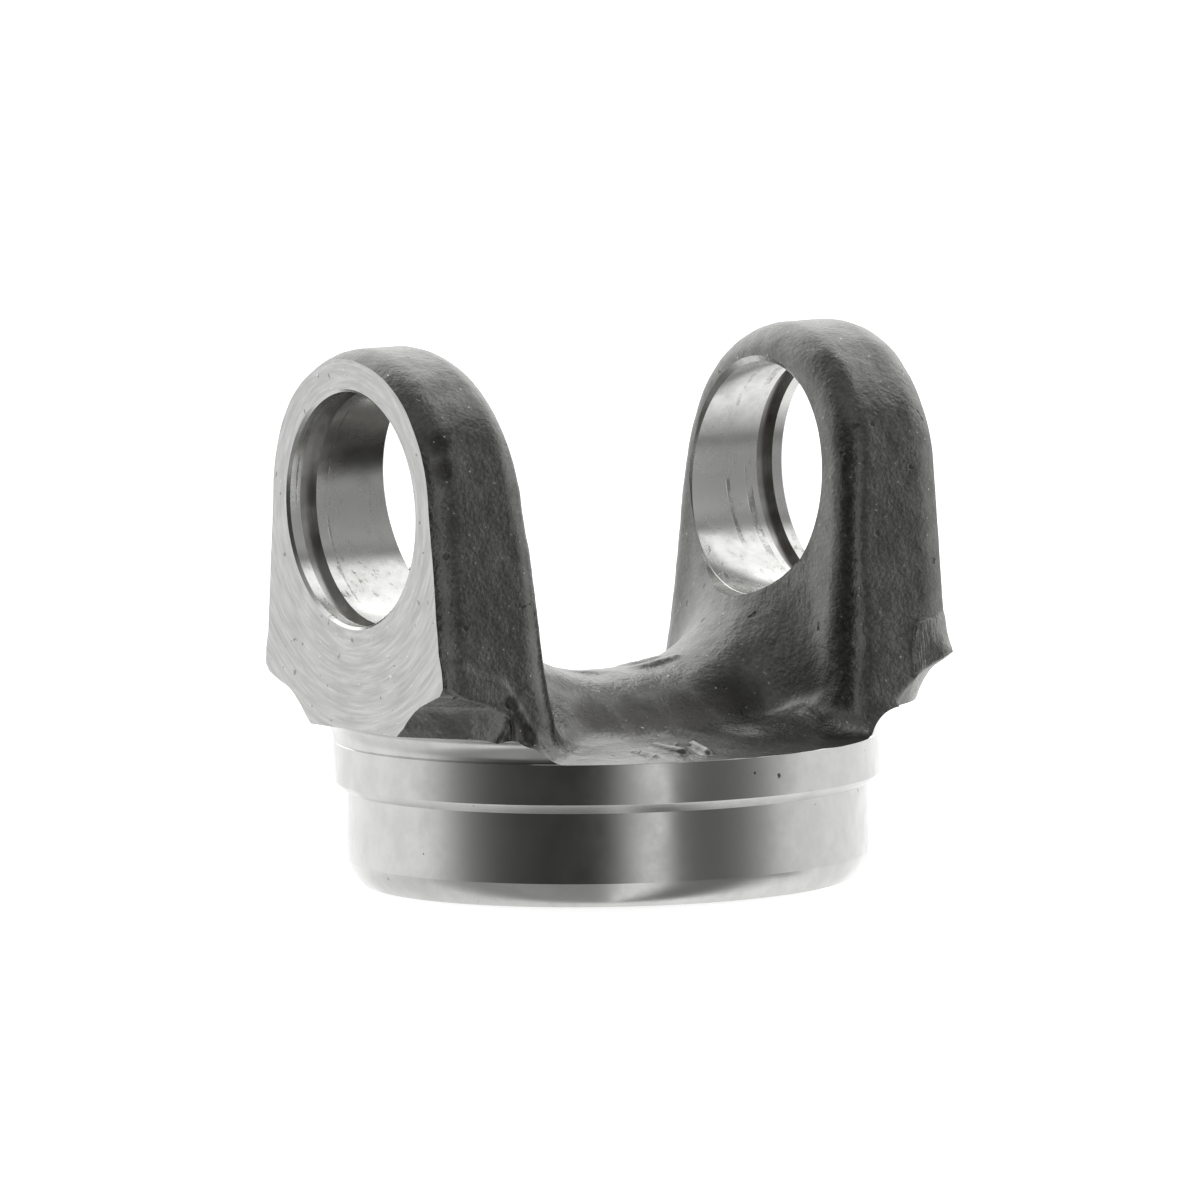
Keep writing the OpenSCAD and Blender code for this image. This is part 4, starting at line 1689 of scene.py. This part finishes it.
# Painted shade: in the dent under the left ear, round the figures on the ledge, along the foot of the saddle,
# at the root of the right ear and by the left face's edge
SHADE_PATCHES = (
    (-38.0, -18.8, 63.5, 0.6, 2.2), (-38.6, -20.2, 60.0, 0.6, 2.0), (-30.7, -24.0, 28.4, 0.7, 1.2),
    (-30.0, -24.2, 26.0, 0.8, 1.4), (-29.3, -24.4, 23.6, 1.5, 1.5), (-28.4, -24.8, 22.0, 1.2, 1.2),
    (-11.9, -27.0, 20.4, 0.5, 0.8), (-12.0, -30.0, 20.2, 0.5, 0.8), (-9.2, -29.5, 20.4, 0.4, 1.2),
    (-5.4, -30.0, 20.3, 0.4, 1.0), (-9.0, -13.6, 24.2, 2.0, 4.5), (-2.0, -13.6, 24.2, 2.5, 4.5),
    (5.0, -13.4, 24.4, 2.5, 4.5), (12.0, -12.6, 25.6, 2.5, 4.5), (21.5, -18.5, 27.5, 1.2, 3.5))
TURNED_PITS = (
    (3.4, -37.3, 17.0, 0.18, 0.2), (-0.6, -37.5, 17.7, 0.1, 0.15), (-1.4, -37.0, 13.3, 0.1, 0.2))
# Painted shade on the upper wall of the left bore, standing in for the dark things that it reflects
LEFT_BORE_SHADE = (
    (-32.5, 14.0, 61.8, 3.0, 4.5), (-28.0, 14.0, 61.8, 3.0, 4.5), (-36.5, 13.8, 61.8, 2.0, 4.0),
    (-30.0, 8.5, 67.0, 4.0, 4.0))
SCORED_RINGS = ((-39.4, 0.08), (-34.5, 0.08), (31.3, 0.25), (34.7, 0.45))


def steel_finishes(bore_z: float) -> tuple[SteelFinish, ...]:
    """The finishes of this yoke.

    Args:
        bore_z: Height of the axis of the bores in mm.

    Returns:
        One finish for each member of Finish, in its order.
    """
    return (
        ForgedSkin(
            "forged_shot_blasted_steel", "#828280", 0.33, sheared="#92928f", dark="#747472",
            scale_and_shade="#403f3d", painted_glint="#d8d8d5", pits=SKIN_PITS, shade_patches=SHADE_PATCHES),
        TurnedSteel(
            "lathe_turned_steel", "#d0d0ce", 0.16, hazed="#c6c6c4", specked="#5c5a57", pits=TURNED_PITS),
        MilledSteel(
            "face_milled_steel", "#b6b6b4", 0.36, marked="#cecece", nick_highlight="#f2f2f0", dotted="#6a6865",
            bore_z=bore_z),
        BoredSteel(
            "bored_steel", "#e4e4e2", 0.20, hazed="#d6d6d3", painted_shade_colour="#8f8d89", scored="#77756f",
            bore_z=bore_z, rings=SCORED_RINGS, painted_shade=LEFT_BORE_SHADE),
        GroovedSteel("plunge_cut_steel", "#c8c8c6", 0.30, oiled="#a4a29e"))


def main() -> None:
    """Builds the yoke, dresses it, and sets up the studio round it."""
    logging.basicConfig(level=logging.INFO, format="%(message)s")
    face_x, shoulder_r = (float(high) for high in np.array(cad_box[1][:2]) / MM)
    blank = ForgedBlank((LEFT_EAR, RIGHT_EAR), SWELLS, FIGURES + BARS, DENTS, shoulder_r)
    materials = [finish.build() for finish in steel_finishes(blank.bore_z)]
    LOG.info("materials: %s", ", ".join(material.name for material in materials))
    piece = Yoke(blank, Machining(face_x, shoulder_r)).build(materials)
    LOG.info("yoke: %d points, %d faces", len(piece.data.vertices), len(piece.data.polygons))
    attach(piece, BODY)
    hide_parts(NODE)
    floor = Floor().build()
    world = Studio().build()
    bpy.context.scene.view_settings.view_transform = "Standard"
    camera = Viewpoint().build()
    LOG.info("set: %s, %s and %s", floor.name, world.name, camera.name)


if __name__ == "__main__":
    main()
